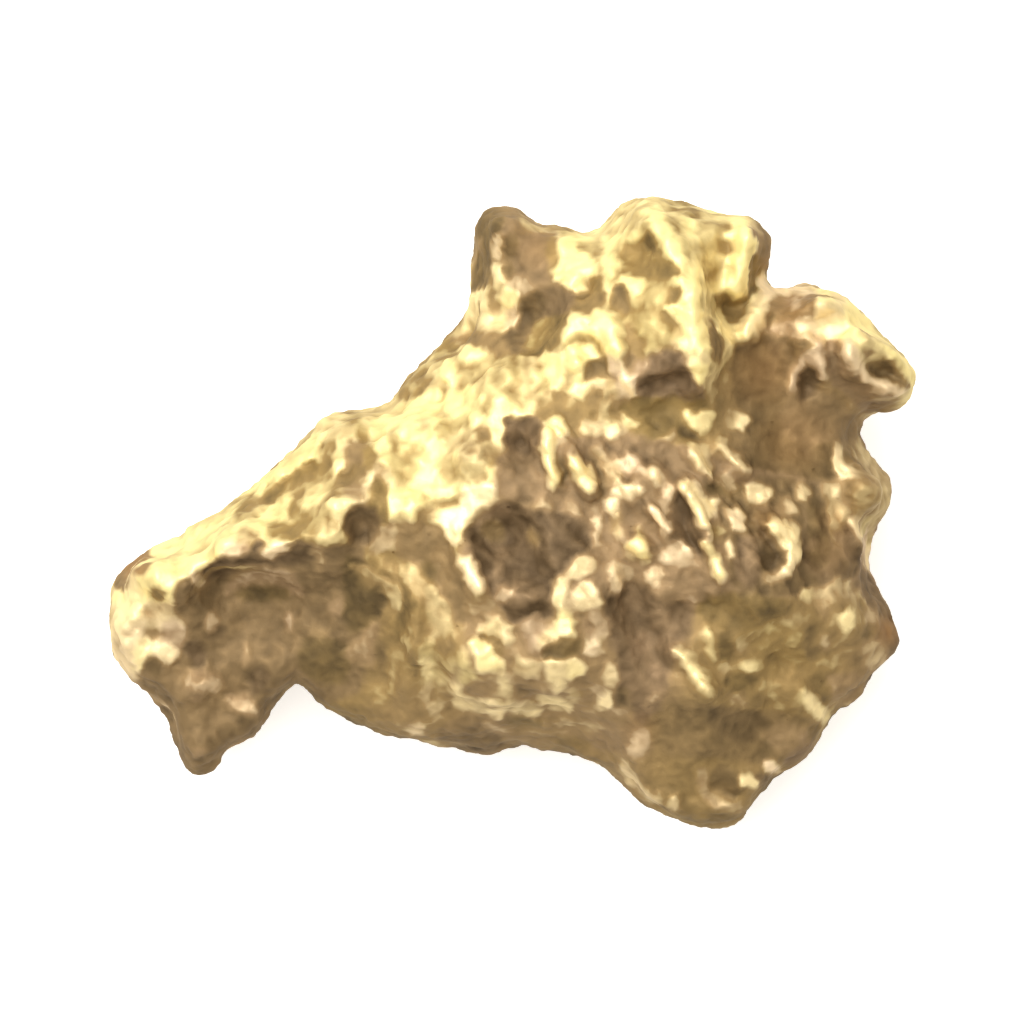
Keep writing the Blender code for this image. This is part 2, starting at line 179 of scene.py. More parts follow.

# Raised ridges, their tops painted lighter as bare gold and painted highlight: (half width in squares, height
# in mm, then the points of the line that each follows)
RIDGES = (
    # the blunt left end, the prong and the hollow
    (9, 0.14, (133, 600), (134, 616)),
    (9, 0.12, (143, 642), (148, 656)),
    (8, 0.12, (166, 648), (170, 660)),
    (8, 0.16, (183, 672), (200, 680), (220, 690)),
    (7, 0.14, (225, 702), (240, 707), (255, 712)),
    (8, 0.14, (238, 577), (262, 573), (285, 576)),
    (7, 0.16, (266, 555), (280, 546), (292, 541)),
    # the long slope above the crest
    (14, 0.16, (252, 488), (285, 462), (318, 440)),
    (8, 0.18, (338, 506), (350, 508)),
    # the swirl below the bright plateau
    (8, 0.20, (368, 576), (384, 586), (396, 600)),
    (11, 0.22, (410, 572), (425, 590), (438, 606), (446, 622), (440, 640), (432, 652)),
    (8, 0.16, (376, 622), (366, 640), (350, 654)),
    (7, 0.16, (425, 660), (426, 704), (437, 714)),
    # the middle pit's rim and what lies below it
    (8, 0.22, (464, 536), (466, 560), (472, 576), (482, 592)),
    (9, 0.20, (458, 522), (480, 516), (502, 508)),
    (7, 0.20, (485, 628), (494, 620), (504, 626), (508, 638)),
    (9, 0.26, (472, 642), (482, 654), (490, 668)),
    (8, 0.20, (455, 682), (460, 698), (482, 704), (498, 712)),
    (7, 0.18, (503, 674), (508, 692), (518, 704), (536, 709)),
    (9, 0.22, (545, 664), (560, 666), (576, 668)),
    (8, 0.24, (563, 610), (566, 630)),
    # the lower middle and the lower lobe
    (9, 0.24, (670, 648), (688, 660), (705, 684)),
    (8, 0.22, (802, 694), (812, 704), (822, 716)),
    (7, 0.20, (622, 765), (636, 786), (656, 800)),
    (9, 0.24, (698, 768), (704, 790), (720, 804), (746, 806)),
    # the knob and below it
    (10, 0.16, (562, 244), (566, 268), (586, 280)),
    (9, 0.24, (556, 342), (576, 326), (600, 322), (612, 336), (616, 352)),
    # the tall prong
    (11, 0.26, (652, 222), (664, 246), (682, 280), (693, 315), (696, 350), (694, 386)),
    (10, 0.22, (744, 224), (743, 256), (736, 288)),
    (7, 0.20, (713, 314), (722, 334), (726, 348)),
    (7, 0.20, (608, 364), (620, 378), (634, 394)),
    # the small prong and the beak
    (8, 0.26, (764, 292), (752, 318), (741, 336)),
    (7, 0.20, (812, 346), (798, 354), (790, 384)),
    (7, 0.20, (814, 345), (821, 368)),
    (7, 0.24, (846, 350), (854, 368), (872, 382), (900, 394)),
    # the slivers of the right middle, which run down to the right
    (7, 0.26, (545, 440), (547, 460), (553, 476)),
    (8, 0.30, (572, 458), (580, 470), (588, 486)),
    (7, 0.26, (688, 448), (698, 460), (708, 476)),
    (7, 0.26, (717, 444), (728, 456), (741, 470)),
    (7, 0.26, (648, 510), (656, 518), (666, 530)),
    (9, 0.32, (683, 488), (692, 504), (701, 520)),
    (9, 0.32, (765, 522), (778, 530), (788, 542), (791, 558)),
    (8, 0.28, (702, 544), (708, 556), (720, 574)),
    (7, 0.24, (612, 568), (613, 592)),
    (7, 0.20, (746, 486), (766, 494)),
    # the right side
    (8, 0.20, (850, 524), (862, 545), (868, 565)),
)  # fmt: skip

# Cut lines and dark gaps, painted darker as film and painted shade: (half width in squares, depth in mm, then
# the points of the line)
GROOVES = (
    (8, 0.26, (268, 497), (282, 484), (300, 474), (326, 463)),
    (8, 0.20, (384, 472), (386, 500)),
    (7, 0.20, (414, 376), (426, 380)),
    (7, 0.20, (478, 222), (480, 280)),
    (6, 0.18, (750, 262), (748, 276)),
    (8, 0.24, (670, 250), (684, 290)),
    (8, 0.22, (664, 376), (690, 388)),
    (6, 0.20, (378, 594), (386, 602)),
    (7, 0.20, (548, 650), (570, 652)),
    (6, 0.24, (845, 520), (850, 538), (858, 560)),
    (7, 0.20, (884, 614), (892, 645)),
    (7, 0.22, (674, 502), (684, 530), (694, 548)),
    (7, 0.24, (762, 535), (770, 550), (772, 566)),
    (7, 0.22, (596, 460), (602, 480)),
    (7, 0.18, (800, 540), (812, 566)),
)  # fmt: skip

# Pits and mounds, pits painted darker as film and painted shade, mounds lighter as bare gold and painted
# highlight: (across, down, half length, half width, turn in degrees, height in mm)
OVALS = (
    (160, 593, 9, 7, 0, -0.20),
    (365, 523, 18, 14, 60, -0.30),
    (536, 335, 12, 22, -40, 0.18),
    (575, 362, 14, 13, 0, 0.22),
    (806, 382, 10, 14, 0, -0.34),
    (728, 307, 12, 12, 0, -0.26),
    (520, 592, 20, 13, 0, 0.24),
    (545, 610, 14, 10, 0, -0.20),
    (500, 540, 26, 20, 60, -0.20),
    (880, 374, 22, 8, 30, -0.28),
    (775, 545, 14, 10, 60, -0.28),
    (470, 690, 12, 8, 0, -0.16),
    (525, 685, 12, 9, 0, -0.14),
    (585, 625, 9, 14, 0, -0.16),
    (430, 590, 14, 9, 60, 0.10),
    (660, 600, 10, 18, 0, 0.14),
)  # fmt: skip

# Patches with a clear edge, film in the low places and rubbed gold on what stands out, each over those
# before it: (clean gold with painted light, brown tint, then the points of the outline).
# They also paint light and shade: painted highlights on faces turned to the light, painted shade in pits and
# hollows.
PATCHES = (
    # the blunt left end
    (0.93, 0.0, (153, 562), (170, 552), (186, 547), (205, 530), (222, 530), (222, 556), (212, 565),
     (204, 556), (196, 562), (184, 576), (178, 590), (177, 599), (166, 600), (150, 597), (140, 595),
     (142, 580)),
    (0.30, 0.5, (104, 577), (125, 556), (148, 545), (154, 560), (148, 570), (130, 578), (126, 590),
     (112, 589)),
    (1.00, 0.1, (104, 591), (125, 590), (125, 600), (104, 601)),
    (0.45, 0.1, (155, 587), (168, 587), (168, 597), (156, 598)),
    (0.92, 0.3, (129, 582), (141, 580), (143, 600), (140, 616), (129, 617)),
    (0.55, 0.5, (146, 604), (155, 602), (160, 640), (150, 638), (147, 620)),
    (0.72, 0.5, (158, 601), (178, 600), (176, 616), (160, 618)),
    (0.64, 0.9, (163, 622), (176, 618), (190, 626), (188, 648), (180, 652), (166, 640)),
    (1.00, 0.3, (133, 649), (144, 637), (155, 642), (150, 660), (148, 673), (138, 669), (136, 656)),
    # the hollow and the prong
    (0.24, 0.6, (140, 668), (152, 658), (166, 668), (186, 652), (190, 630), (180, 616), (177, 600),
     (182, 580), (192, 577), (205, 585), (213, 566), (240, 557), (262, 556), (285, 551), (302, 542),
     (318, 546), (348, 547), (354, 536), (368, 548), (362, 565), (380, 590), (386, 602), (374, 625),
     (362, 645), (366, 692), (330, 702), (300, 690), (270, 715), (240, 750), (205, 795), (170, 780),
     (140, 715)),
    (0.08, 0.8, (205, 572), (222, 558), (240, 556), (282, 556), (312, 545), (314, 562), (286, 566),
     (256, 564), (230, 574), (208, 584)),
    (0.50, 0.9, (222, 598), (230, 584), (252, 569), (276, 567), (302, 578), (304, 598), (280, 591),
     (255, 582), (236, 588)),
    (0.12, 0.2, (236, 592), (260, 584), (294, 590), (280, 600), (244, 600)),
    (1.00, 0.6, (160, 646), (170, 642), (179, 652), (174, 663), (163, 660)),
    (0.12, 0.5, (151, 656), (160, 658), (165, 666), (158, 680), (149, 672)),
    (0.10, 0.9, (188, 640), (204, 642), (208, 664), (196, 662), (188, 652)),
    (0.10, 0.7, (205, 634), (228, 624), (226, 636), (212, 641)),
    (0.60, 0.8, (207, 614), (218, 614), (218, 630), (208, 629)),
    (0.80, 0.8, (193, 570), (204, 569), (209, 584), (202, 588), (196, 580)),
    (0.62, 0.9, (284, 614), (293, 614), (293, 630), (285, 629)),
    (0.52, 0.7, (244, 645), (252, 645), (252, 666), (244, 662)),
    (0.45, 0.8, (330, 602), (350, 598), (354, 610), (342, 616), (332, 612)),
    (0.40, 0.5, (312, 625), (334, 627), (330, 637), (314, 636)),
    (0.52, 0.8, (183, 680), (196, 667), (213, 670), (225, 688), (208, 689), (204, 699), (195, 697)),
    (0.46, 0.8, (225, 696), (240, 693), (255, 703), (259, 715), (246, 714), (236, 712)),
    (0.08, 0.8, (246, 692), (252, 672), (264, 668), (274, 680), (256, 696)),
    (0.45, 0.8, (195, 748), (207, 748), (206, 760), (196, 760)),
    (0.55, 0.6, (316, 545), (326, 545), (326, 570), (316, 570)),
    (0.50, 0.8, (314, 655), (324, 652), (326, 670), (316, 668)),
    (0.07, 0.2, (346, 556), (366, 562), (380, 580), (386, 600), (376, 620), (360, 634), (344, 622),
     (350, 600), (346, 580)),
    (0.15, 0.2, (300, 640), (330, 636), (352, 650), (350, 676), (328, 690), (304, 672)),
    # the slope's crest, with the tan gold below it
    (0.91, 0.0, (190, 530), (245, 482), (300, 424), (318, 434), (325, 442), (326, 462), (303, 466),
     (289, 476), (272, 486), (262, 496), (256, 490), (248, 488), (238, 506), (242, 520), (242, 538),
     (222, 540)),
    (0.58, 0.1, (268, 502), (285, 485), (302, 474), (330, 466), (342, 482), (336, 520), (352, 535),
     (350, 545), (320, 545), (295, 538), (290, 505)),
    (0.36, 0.0, (264, 498), (268, 488), (280, 483), (290, 476), (301, 469), (308, 471), (296, 482),
     (282, 490), (280, 499), (272, 505)),
    (0.56, 0.0, (302, 464), (328, 462), (332, 466), (326, 471), (304, 473)),
    (0.42, 0.0, (235, 510), (247, 500), (245, 487), (255, 489), (257, 500), (247, 513), (240, 521)),
    (0.54, 0.1, (250, 500), (266, 498), (268, 508), (258, 520), (246, 517)),
    (0.92, 0.0, (282, 489), (293, 494), (290, 522), (278, 527), (266, 540), (250, 532), (243, 522),
     (258, 522), (268, 506), (280, 504)),
    (0.44, 0.0, (268, 530), (284, 520), (302, 530), (302, 540), (276, 539)),
    (0.46, 0.0, (294, 500), (302, 510), (314, 514), (314, 530), (298, 526), (291, 512)),
    (0.55, 0.3, (243, 530), (262, 533), (258, 540), (243, 540)),
    (0.62, 0.8, (226, 546), (246, 540), (253, 546), (252, 557), (226, 557)),
    (0.20, 0.8, (253, 544), (266, 541), (264, 556), (254, 557)),
    (0.95, 0.8, (266, 554), (278, 543), (294, 541), (286, 551), (276, 559), (267, 559)),
    (0.92, 0.1, (301, 500), (318, 492), (326, 487), (327, 496), (318, 507), (306, 509)),
    (1.00, 0.2, (335, 500), (344, 496), (355, 503), (353, 516), (344, 520), (335, 512)),
    (1.00, 0.1, (335, 452), (345, 452), (347, 470), (342, 480), (335, 475)),
    (0.98, 0.5, (365, 472), (375, 472), (376, 486), (365, 489)),
    (0.80, 0.5, (352, 498), (378, 497), (378, 506), (354, 507)),
    (0.78, 0.2, (318, 528), (340, 520), (352, 536), (348, 544), (320, 545)),
    (0.42, 0.0, (342, 405), (358, 405), (363, 424), (352, 427), (343, 422)),
    (0.42, 0.0, (357, 424), (371, 430), (366, 443), (355, 438)),
    (0.42, 0.1, (322, 442), (338, 443), (335, 465), (325, 463)),
    (0.46, 0.5, (346, 441), (364, 440), (367, 456), (362, 467), (347, 463)),
    (0.42, 0.0, (364, 448), (375, 446), (380, 456), (372, 474), (365, 467)),
    (0.28, 0.2, (344, 472), (354, 464), (368, 466), (366, 476), (356, 489), (347, 489), (338, 482)),
    (0.52, 0.6, (347, 488), (364, 486), (366, 496), (350, 498)),
    # the plateau
    (0.92, 0.0, (375, 412), (392, 408), (396, 430), (378, 440), (394, 446), (396, 458), (390, 468),
     (382, 464), (374, 440)),
    (0.93, 0.0, (400, 398), (430, 392), (442, 396), (440, 436), (437, 478), (456, 492), (452, 502),
     (430, 508), (416, 504), (396, 496), (404, 482), (418, 474), (419, 440), (400, 438)),
    (0.60, 0.0, (392, 438), (399, 440), (400, 455), (418, 463), (416, 476), (404, 483), (394, 474)),
    (0.72, 0.0, (400, 440), (420, 440), (419, 462), (402, 458)),
    (0.50, 0.1, (394, 380), (412, 370), (420, 362), (429, 370), (428, 393), (410, 398), (396, 398)),
    (0.70, 0.2, (426, 366), (440, 362), (442, 392), (428, 392)),
    (0.46, 0.0, (430, 352), (446, 338), (459, 346), (457, 362), (436, 363)),
    (1.00, 0.0, (443, 361), (458, 362), (457, 380), (446, 382), (442, 372)),
    (0.62, 0.3, (444, 385), (457, 386), (456, 395), (445, 394)),
    (0.70, 0.1, (460, 362), (500, 356), (510, 362), (512, 392), (480, 398), (470, 388), (458, 388)),
    (1.00, 0.0, (461, 347), (478, 345), (487, 352), (478, 359), (465, 361)),
    (0.93, 0.0, (460, 390), (476, 386), (480, 412), (474, 422), (460, 420), (442, 408), (444, 398)),
    (0.64, 0.0, (440, 424), (456, 417), (471, 417), (471, 425), (458, 429), (450, 437), (440, 436)),
    (0.78, 0.2, (419, 419), (431, 420), (430, 434), (420, 433)),
    (0.58, 0.0, (481, 402), (498, 400), (498, 412), (491, 420), (483, 413)),
    (1.00, 0.1, (474, 414), (490, 420), (480, 428), (474, 425)),
    (0.50, 0.3, (475, 429), (491, 427), (494, 436), (480, 439)),
    (0.62, 0.0, (511, 358), (521, 358), (521, 384), (511, 385)),
    (0.70, 0.1, (512, 392), (523, 393), (521, 406), (513, 405)),
    (0.60, 0.0, (538, 368), (546, 368), (548, 396), (538, 396)),
    (0.55, 0.2, (534, 410), (548, 403), (562, 410), (566, 420), (538, 420)),
    (1.00, 0.1, (500, 396), (510, 398), (520, 406), (537, 404), (530, 418), (504, 421), (503, 441),
     (494, 438), (490, 421), (496, 404)),
    (0.62, 0.3, (459, 450), (467, 441), (500, 444), (504, 460), (484, 459), (466, 464), (458, 457)),
    (0.74, 0.2, (460, 464), (484, 460), (484, 486), (464, 492), (458, 480)),
    (0.58, 0.1, (484, 462), (497, 459), (499, 481), (486, 484)),
    (0.70, 0.1, (438, 458), (454, 458), (462, 488), (462, 500), (452, 488), (438, 476)),
    (0.56, 0.1, (434, 503), (456, 498), (462, 502), (459, 509), (436, 510)),
    (1.00, 0.6, (464, 488), (480, 483), (497, 486), (494, 494), (484, 504), (472, 512), (464, 524),
     (456, 530), (463, 542), (452, 546), (444, 528), (441, 518), (448, 510), (464, 508)),
    (0.52, 0.3, (419, 508), (436, 508), (438, 522), (422, 522)),
    (1.00, 0.0, (389, 488), (397, 490), (398, 520), (390, 521)),
    (0.98, 0.1, (404, 504), (416, 504), (416, 521), (407, 521)),
    (0.30, 0.0, (375, 478), (386, 480), (390, 498), (388, 520), (380, 540), (372, 520), (372, 498)),
    (0.20, 0.7, (348, 518), (358, 506), (378, 507), (384, 522), (378, 540), (362, 546), (350, 536)),
    # the swirl below it
    (0.37, 0.5, (398, 520), (440, 524), (450, 546), (466, 556), (478, 600), (470, 626), (452, 616),
     (440, 596), (424, 580), (408, 560), (394, 545)),
    (0.60, 0.6, (382, 524), (398, 520), (398, 545), (380, 552), (372, 545)),
    (0.43, 0.2, (380, 562), (396, 556), (408, 560), (422, 576), (440, 592), (450, 610), (448, 628),
     (440, 640), (422, 640), (410, 660), (396, 662), (386, 650), (392, 632), (408, 620), (404, 596),
     (392, 580)),
    (0.40, 0.1, (404, 590), (420, 592), (424, 614), (412, 622), (402, 610)),
    (0.24, 0.1, (400, 580), (410, 590), (415, 606), (410, 624), (398, 644), (394, 632), (401, 612),
     (402, 596)),
    (0.22, 0.1, (424, 560), (438, 566), (434, 584), (420, 574)),
    (0.53, 0.3, (350, 566), (364, 564), (378, 572), (392, 582), (402, 594), (401, 612), (390, 610),
     (388, 596), (374, 584), (360, 574)),
    (0.72, 0.3, (389, 592), (400, 592), (400, 607), (390, 607)),
    (0.53, 0.3, (402, 566), (416, 572), (432, 588), (446, 600), (452, 616), (446, 632), (432, 642),
     (430, 626), (436, 612), (422, 598), (408, 580)),
    (0.55, 0.2, (413, 610), (423, 614), (422, 630), (414, 648), (402, 664), (392, 654), (406, 634)),
    (0.03, 0.2, (364, 590), (378, 591), (386, 598), (378, 606), (362, 604)),
    (0.46, 0.7, (343, 652), (356, 642), (370, 622), (380, 622), (378, 644), (374, 668), (362, 660),
     (350, 658)),
    (0.55, 0.2, (362, 682), (376, 678), (392, 684), (392, 702), (378, 700), (364, 692)),
    (0.20, 0.4, (378, 646), (385, 646), (386, 668), (378, 668)),
    (0.25, 0.2, (411, 650), (421, 650), (420, 668), (411, 668)),
    (0.30, 0.3, (440, 636), (456, 640), (454, 652), (442, 650)),
    (0.84, 0.3, (422, 658), (433, 658), (433, 676), (422, 674)),
    (0.62, 0.5, (421, 682), (433, 680), (434, 704), (444, 700), (446, 710), (438, 722), (426, 712)),
    (0.72, 0.7, (409, 722), (422, 718), (424, 734), (410, 736)),
    # the knob: its dark left side, its brown middle, the dark patch below it
    (0.19, 0.2, (470, 200), (500, 200), (507, 216), (506, 222), (500, 234), (492, 240), (490, 258),
     (492, 288), (464, 294), (460, 270), (468, 250), (476, 236)),
    (0.62, 0.6, (474, 239), (483, 239), (483, 251), (474, 255)),
    (0.34, 0.7, (503, 222), (520, 206), (540, 212), (557, 240), (558, 262), (553, 285), (536, 290),
     (519, 285), (514, 260), (499, 235)),
    (0.64, 0.3, (518, 210), (540, 212), (560, 216), (557, 236), (540, 235), (521, 234)),
    (0.50, 0.1, (546, 240), (558, 240), (558, 276), (550, 281), (547, 256)),
    (0.42, 0.6, (537, 249), (546, 249), (545, 259), (537, 258)),
    (0.90, 0.7, (492, 237), (502, 238), (504, 257), (494, 258)),
    (0.18, 0.4, (503, 240), (517, 238), (519, 252), (512, 259), (504, 257)),
    (0.92, 0.4, (493, 265), (501, 267), (504, 281), (498, 285), (493, 276)),
    (0.26, 0.3, (504, 267), (514, 267), (514, 280), (506, 281)),
    (0.64, 0.7, (513, 273), (524, 275), (533, 287), (535, 299), (520, 301), (506, 288)),
    (0.62, 0.0, (560, 216), (576, 222), (573, 237), (559, 237)),
    (1.00, 0.0, (561, 241), (572, 234), (583, 239), (577, 250), (585, 257), (591, 266), (593, 276),
     (587, 288), (570, 291), (555, 285), (551, 276), (559, 264), (559, 252)),
    (0.58, 0.0, (576, 246), (591, 245), (593, 255), (582, 257)),
    (0.68, 0.1, (591, 240), (601, 240), (603, 276), (595, 281), (591, 262)),
    (0.34, 0.1, (587, 284), (601, 279), (601, 296), (589, 297)),
    (0.33, 0.2, (562, 300), (578, 296), (602, 297), (604, 311), (590, 315), (572, 315)),
    (0.92, 0.3, (461, 294), (488, 291), (486, 305), (478, 319), (464, 324), (454, 314)),
    (0.50, 0.3, (489, 290), (501, 290), (502, 312), (488, 317)),
    (1.00, 0.1, (501, 293), (514, 292), (517, 303), (513, 312), (504, 310)),
    (0.80, 0.7, (505, 312), (518, 312), (517, 327), (507, 331)),
    (0.86, 0.4, (480, 317), (492, 317), (491, 330), (481, 330)),
    (0.41, 0.4, (448, 338), (470, 333), (500, 332), (508, 338), (513, 355), (500, 359), (488, 348),
     (460, 347)),
    (0.21, 0.7, (537, 292), (548, 289), (562, 291), (577, 297), (569, 311), (560, 319), (541, 321),
     (538, 304)),
    (0.10, 0.5, (518, 305), (529, 297), (541, 297), (546, 306), (542, 321), (533, 326), (531, 340),
     (525, 353), (512, 356), (506, 342), (510, 333), (518, 329)),
    (0.21, 0.0, (550, 317), (566, 317), (561, 333), (555, 347), (546, 355), (530, 362), (520, 357),
     (536, 350), (546, 340), (552, 328)),
    (0.44, 0.0, (537, 322), (551, 319), (551, 332), (541, 347), (530, 353), (525, 348), (532, 338)),
    (1.00, 0.0, (544, 357), (556, 355), (562, 366), (560, 389), (549, 390), (545, 374)),
    (1.00, 0.0, (560, 345), (566, 336), (570, 320), (578, 318), (588, 322), (592, 314), (602, 314),
     (612, 324), (619, 340), (617, 361), (606, 356), (600, 340), (586, 337), (572, 341)),
    (0.56, 0.0, (561, 346), (574, 341), (598, 340), (600, 356), (594, 362), (590, 352), (566, 350)),
    (1.00, 0.0, (562, 353), (578, 346), (592, 352), (595, 364), (585, 377), (578, 383), (567, 373)),
    (0.28, 0.3, (587, 366), (602, 361), (607, 375), (600, 383), (581, 381)),
    (1.00, 0.1, (564, 390), (576, 382), (587, 388), (583, 400), (566, 400)),
    (0.78, 0.5, (588, 384), (602, 384), (602, 392), (590, 392)),
    (0.34, 0.3, (586, 393), (602, 393), (600, 403), (586, 403)),
    # the tall prong
    (0.62, 0.0, (604, 262), (618, 242), (640, 236), (650, 214), (672, 222), (690, 270), (700, 300),
     (676, 330), (668, 352), (640, 356), (620, 350), (614, 320), (606, 300)),
    (0.46, 0.0, (666, 206), (672, 199), (688, 201), (699, 211), (696, 221), (678, 220)),
    (0.92, 0.0, (608, 238), (636, 231), (642, 240), (622, 247), (614, 256), (603, 254)),
    (0.44, 0.0, (618, 252), (632, 247), (642, 250), (640, 262), (654, 268), (656, 282), (642, 284),
     (636, 272), (620, 268)),
    (0.20, 0.0, (640, 243), (650, 238), (661, 248), (660, 258), (648, 259)),
    (0.26, 0.0, (655, 262), (663, 262), (671, 271), (678, 281), (660, 284), (652, 274)),
    (1.00, 0.0, (601, 264), (612, 261), (619, 270), (612, 281), (603, 279)),
    (0.95, 0.1, (602, 283), (611, 284), (610, 297), (603, 297)),
    (1.00, 0.0, (619, 279), (632, 278), (643, 292), (632, 297), (621, 291)),
    (0.18, 0.3, (612, 292), (622, 291), (629, 302), (627, 315), (616, 315), (611, 302)),
    (0.40, 0.1, (666, 292), (678, 290), (679, 304), (668, 306)),
    (0.45, 0.1, (655, 317), (668, 317), (681, 330), (672, 332)),
    (0.48, 0.2, (621, 328), (631, 328), (630, 338), (645, 343), (642, 359), (629, 358), (624, 344)),
    (1.00, 0.0, (639, 205), (657, 205), (662, 222), (670, 240), (678, 258), (690, 272), (697, 290),
     (701, 318), (704, 345), (704, 355), (684, 356), (677, 352), (681, 338), (679, 326), (660, 315),
     (662, 309), (677, 308), (680, 293), (667, 291), (667, 284), (681, 284), (675, 268), (661, 258),
     (657, 244), (650, 238), (647, 222), (640, 216)),
    (0.92, 0.0, (674, 221), (688, 221), (690, 240), (680, 242)),
    (0.68, 0.1, (690, 226), (714, 220), (728, 228), (722, 242), (730, 254), (720, 268), (722, 282),
     (710, 296), (702, 276), (696, 252)),
    (0.54, 0.1, (718, 224), (729, 226), (728, 236), (719, 235)),
    (0.50, 0.1, (716, 241), (728, 243), (731, 254), (720, 259)),
    (1.00, 0.0, (726, 214), (744, 214), (750, 230), (749, 240), (760, 246), (757, 258), (748, 262),
     (747, 280), (738, 291), (732, 301), (723, 295), (721, 284), (731, 280), (723, 264), (735, 258),
     (732, 242), (720, 238), (731, 230)),
    (0.30, 0.8, (745, 214), (758, 214), (770, 234), (765, 245), (757, 246), (750, 238), (750, 230)),
    (0.42, 0.7, (757, 246), (765, 245), (775, 262), (768, 272), (758, 272)),
    (0.30, 0.1, (714, 297), (722, 298), (732, 304), (742, 298), (748, 286), (750, 260), (758, 262),
     (757, 284), (748, 300), (738, 322), (728, 326), (720, 318), (715, 308)),
    (0.40, 0.1, (730, 305), (740, 302), (737, 318), (730, 318)),
    (1.00, 0.4, (756, 288), (768, 288), (765, 300), (761, 320), (757, 333), (744, 337), (734, 333),
     (737, 322), (748, 317), (750, 304)),
    (1.00, 0.1, (708, 310), (714, 312), (724, 326), (726, 344), (720, 346), (716, 334)),
    (0.22, 0.4, (703, 322), (711, 328), (716, 346), (719, 362), (711, 364), (705, 348)),
    (0.75, 0.2, (720, 345), (727, 344), (726, 363), (719, 363)),
    (0.70, 0.3, (688, 356), (704, 355), (705, 366), (690, 367)),
    (1.00, 0.0, (685, 367), (701, 364), (706, 378), (700, 390), (689, 387)),
    (0.66, 0.9, (603, 362), (612, 361), (620, 378), (638, 360), (648, 366), (640, 380), (632, 388),
     (634, 398), (622, 398), (614, 386)),
    (0.34, 0.5, (618, 358), (631, 358), (631, 370), (624, 378)),
    (1.00, 0.6, (617, 380), (625, 381), (634, 390), (633, 398), (623, 396)),
    (0.66, 0.3, (702, 376), (713, 382), (713, 404), (703, 402)),
    (0.54, 0.1, (702, 262), (712, 266), (714, 282), (706, 286), (701, 274)),
    # the notch below the tall prong, and the floor of it
    (0.29, 0.0, (616, 404), (640, 397), (670, 395), (700, 399), (706, 412), (690, 425), (668, 446),
     (640, 448), (626, 428)),
    (0.17, 1.0, (634, 392), (642, 378), (650, 360), (660, 355), (676, 356), (683, 370), (690, 382),
     (704, 399), (690, 401), (664, 396), (645, 400)),
    (0.60, 0.5, (672, 429), (678, 435), (666, 448), (652, 452), (650, 444), (662, 438)),
    (0.70, 0.2, (617, 417), (634, 418), (639, 426), (628, 431), (620, 427)),
    # the small prong, the beak and the plate
    (0.92, 0.7, (754, 276), (800, 270), (812, 298), (786, 298), (770, 302), (760, 300)),
    (0.42, 0.5, (765, 303), (785, 299), (811, 300), (812, 312), (808, 322), (790, 323), (766, 326)),
    (0.66, 0.8, (784, 301), (797, 301), (798, 312), (786, 313)),
    (0.26, 0.3, (765, 316), (775, 316), (775, 330), (765, 330)),
    (0.60, 0.8, (766, 325), (790, 322), (808, 322), (794, 334), (786, 341), (766, 341)),
    (0.86, 0.4, (812, 300), (826, 280), (850, 295), (862, 318), (850, 332), (838, 348), (824, 345),
     (812, 330)),
    (1.00, 0.1, (811, 280), (820, 276), (827, 294), (826, 306), (815, 306)),
    (0.92, 0.4, (812, 312), (824, 316), (834, 328), (830, 336), (818, 328), (810, 320)),
    (1.00, 0.0, (838, 318), (848, 296), (895, 314), (940, 360), (940, 396), (907, 388), (894, 373),
     (885, 359), (876, 347), (866, 339), (856, 334), (846, 328)),
    (1.00, 0.1, (843, 335), (852, 329), (861, 337), (857, 348), (847, 347)),
    (0.74, 0.2, (856, 340), (866, 338), (875, 345), (883, 356), (880, 360), (868, 362), (857, 357),
     (851, 349)),
    (0.45, 0.5, (856, 352), (866, 352), (866, 361), (857, 359)),
    (0.36, 0.8, (822, 340), (836, 345), (838, 360), (850, 372), (864, 386), (880, 393), (900, 400),
     (884, 415), (860, 414), (850, 397), (836, 391), (824, 380), (820, 360)),
    (0.84, 0.8, (835, 345), (846, 344), (853, 361), (864, 374), (883, 382), (908, 391), (899, 399),
     (882, 395), (862, 386), (848, 374), (839, 362)),
    (0.20, 0.4, (861, 371), (870, 366), (883, 362), (893, 371), (903, 383), (905, 390), (896, 388),
     (880, 380), (868, 378)),
    (0.16, 0.4, (728, 341), (800, 340), (810, 350), (796, 362), (792, 385), (796, 402), (780, 412),
     (776, 440), (824, 446), (832, 480), (742, 476), (748, 440), (740, 412), (728, 400)),
    (0.34, 0.6, (780, 400), (800, 380), (826, 396), (856, 420), (856, 440), (824, 446), (780, 440)),
    (0.96, 0.6, (790, 326), (804, 321), (815, 330), (816, 342), (806, 338), (793, 335)),
    (0.66, 0.9, (808, 336), (818, 342), (824, 360), (822, 380), (812, 380), (813, 364), (803, 365),
     (798, 380), (795, 394), (785, 390), (789, 370), (798, 357), (812, 351)),
    (0.06, 0.8, (801, 368), (811, 366), (813, 376), (809, 388), (806, 401), (797, 403), (795, 394),
     (799, 380)),
    (0.06, 0.4, (819, 444), (830, 445), (832, 462), (836, 476), (820, 478)),
    # the slivers of the right middle
    (0.40, 0.2, (540, 394), (562, 392), (582, 404), (606, 402), (622, 418), (606, 442), (580, 444),
     (566, 430), (556, 418), (540, 420)),
    (0.37, 0.8, (500, 448), (545, 452), (556, 490), (552, 506), (510, 502), (494, 494)),
    (0.25, 0.8, (505, 444), (540, 444), (546, 470), (540, 488), (514, 484), (508, 464)),
    (0.11, 0.9, (503, 423), (520, 420), (540, 417), (541, 446), (530, 454), (505, 450)),
    (0.38, 0.8, (552, 436), (640, 436), (740, 470), (830, 480), (850, 560), (840, 586), (740, 600),
     (600, 600), (556, 580), (556, 520)),
    (0.17, 0.5, (728, 480), (826, 480), (850, 556), (840, 586), (740, 600), (722, 560), (716, 510)),
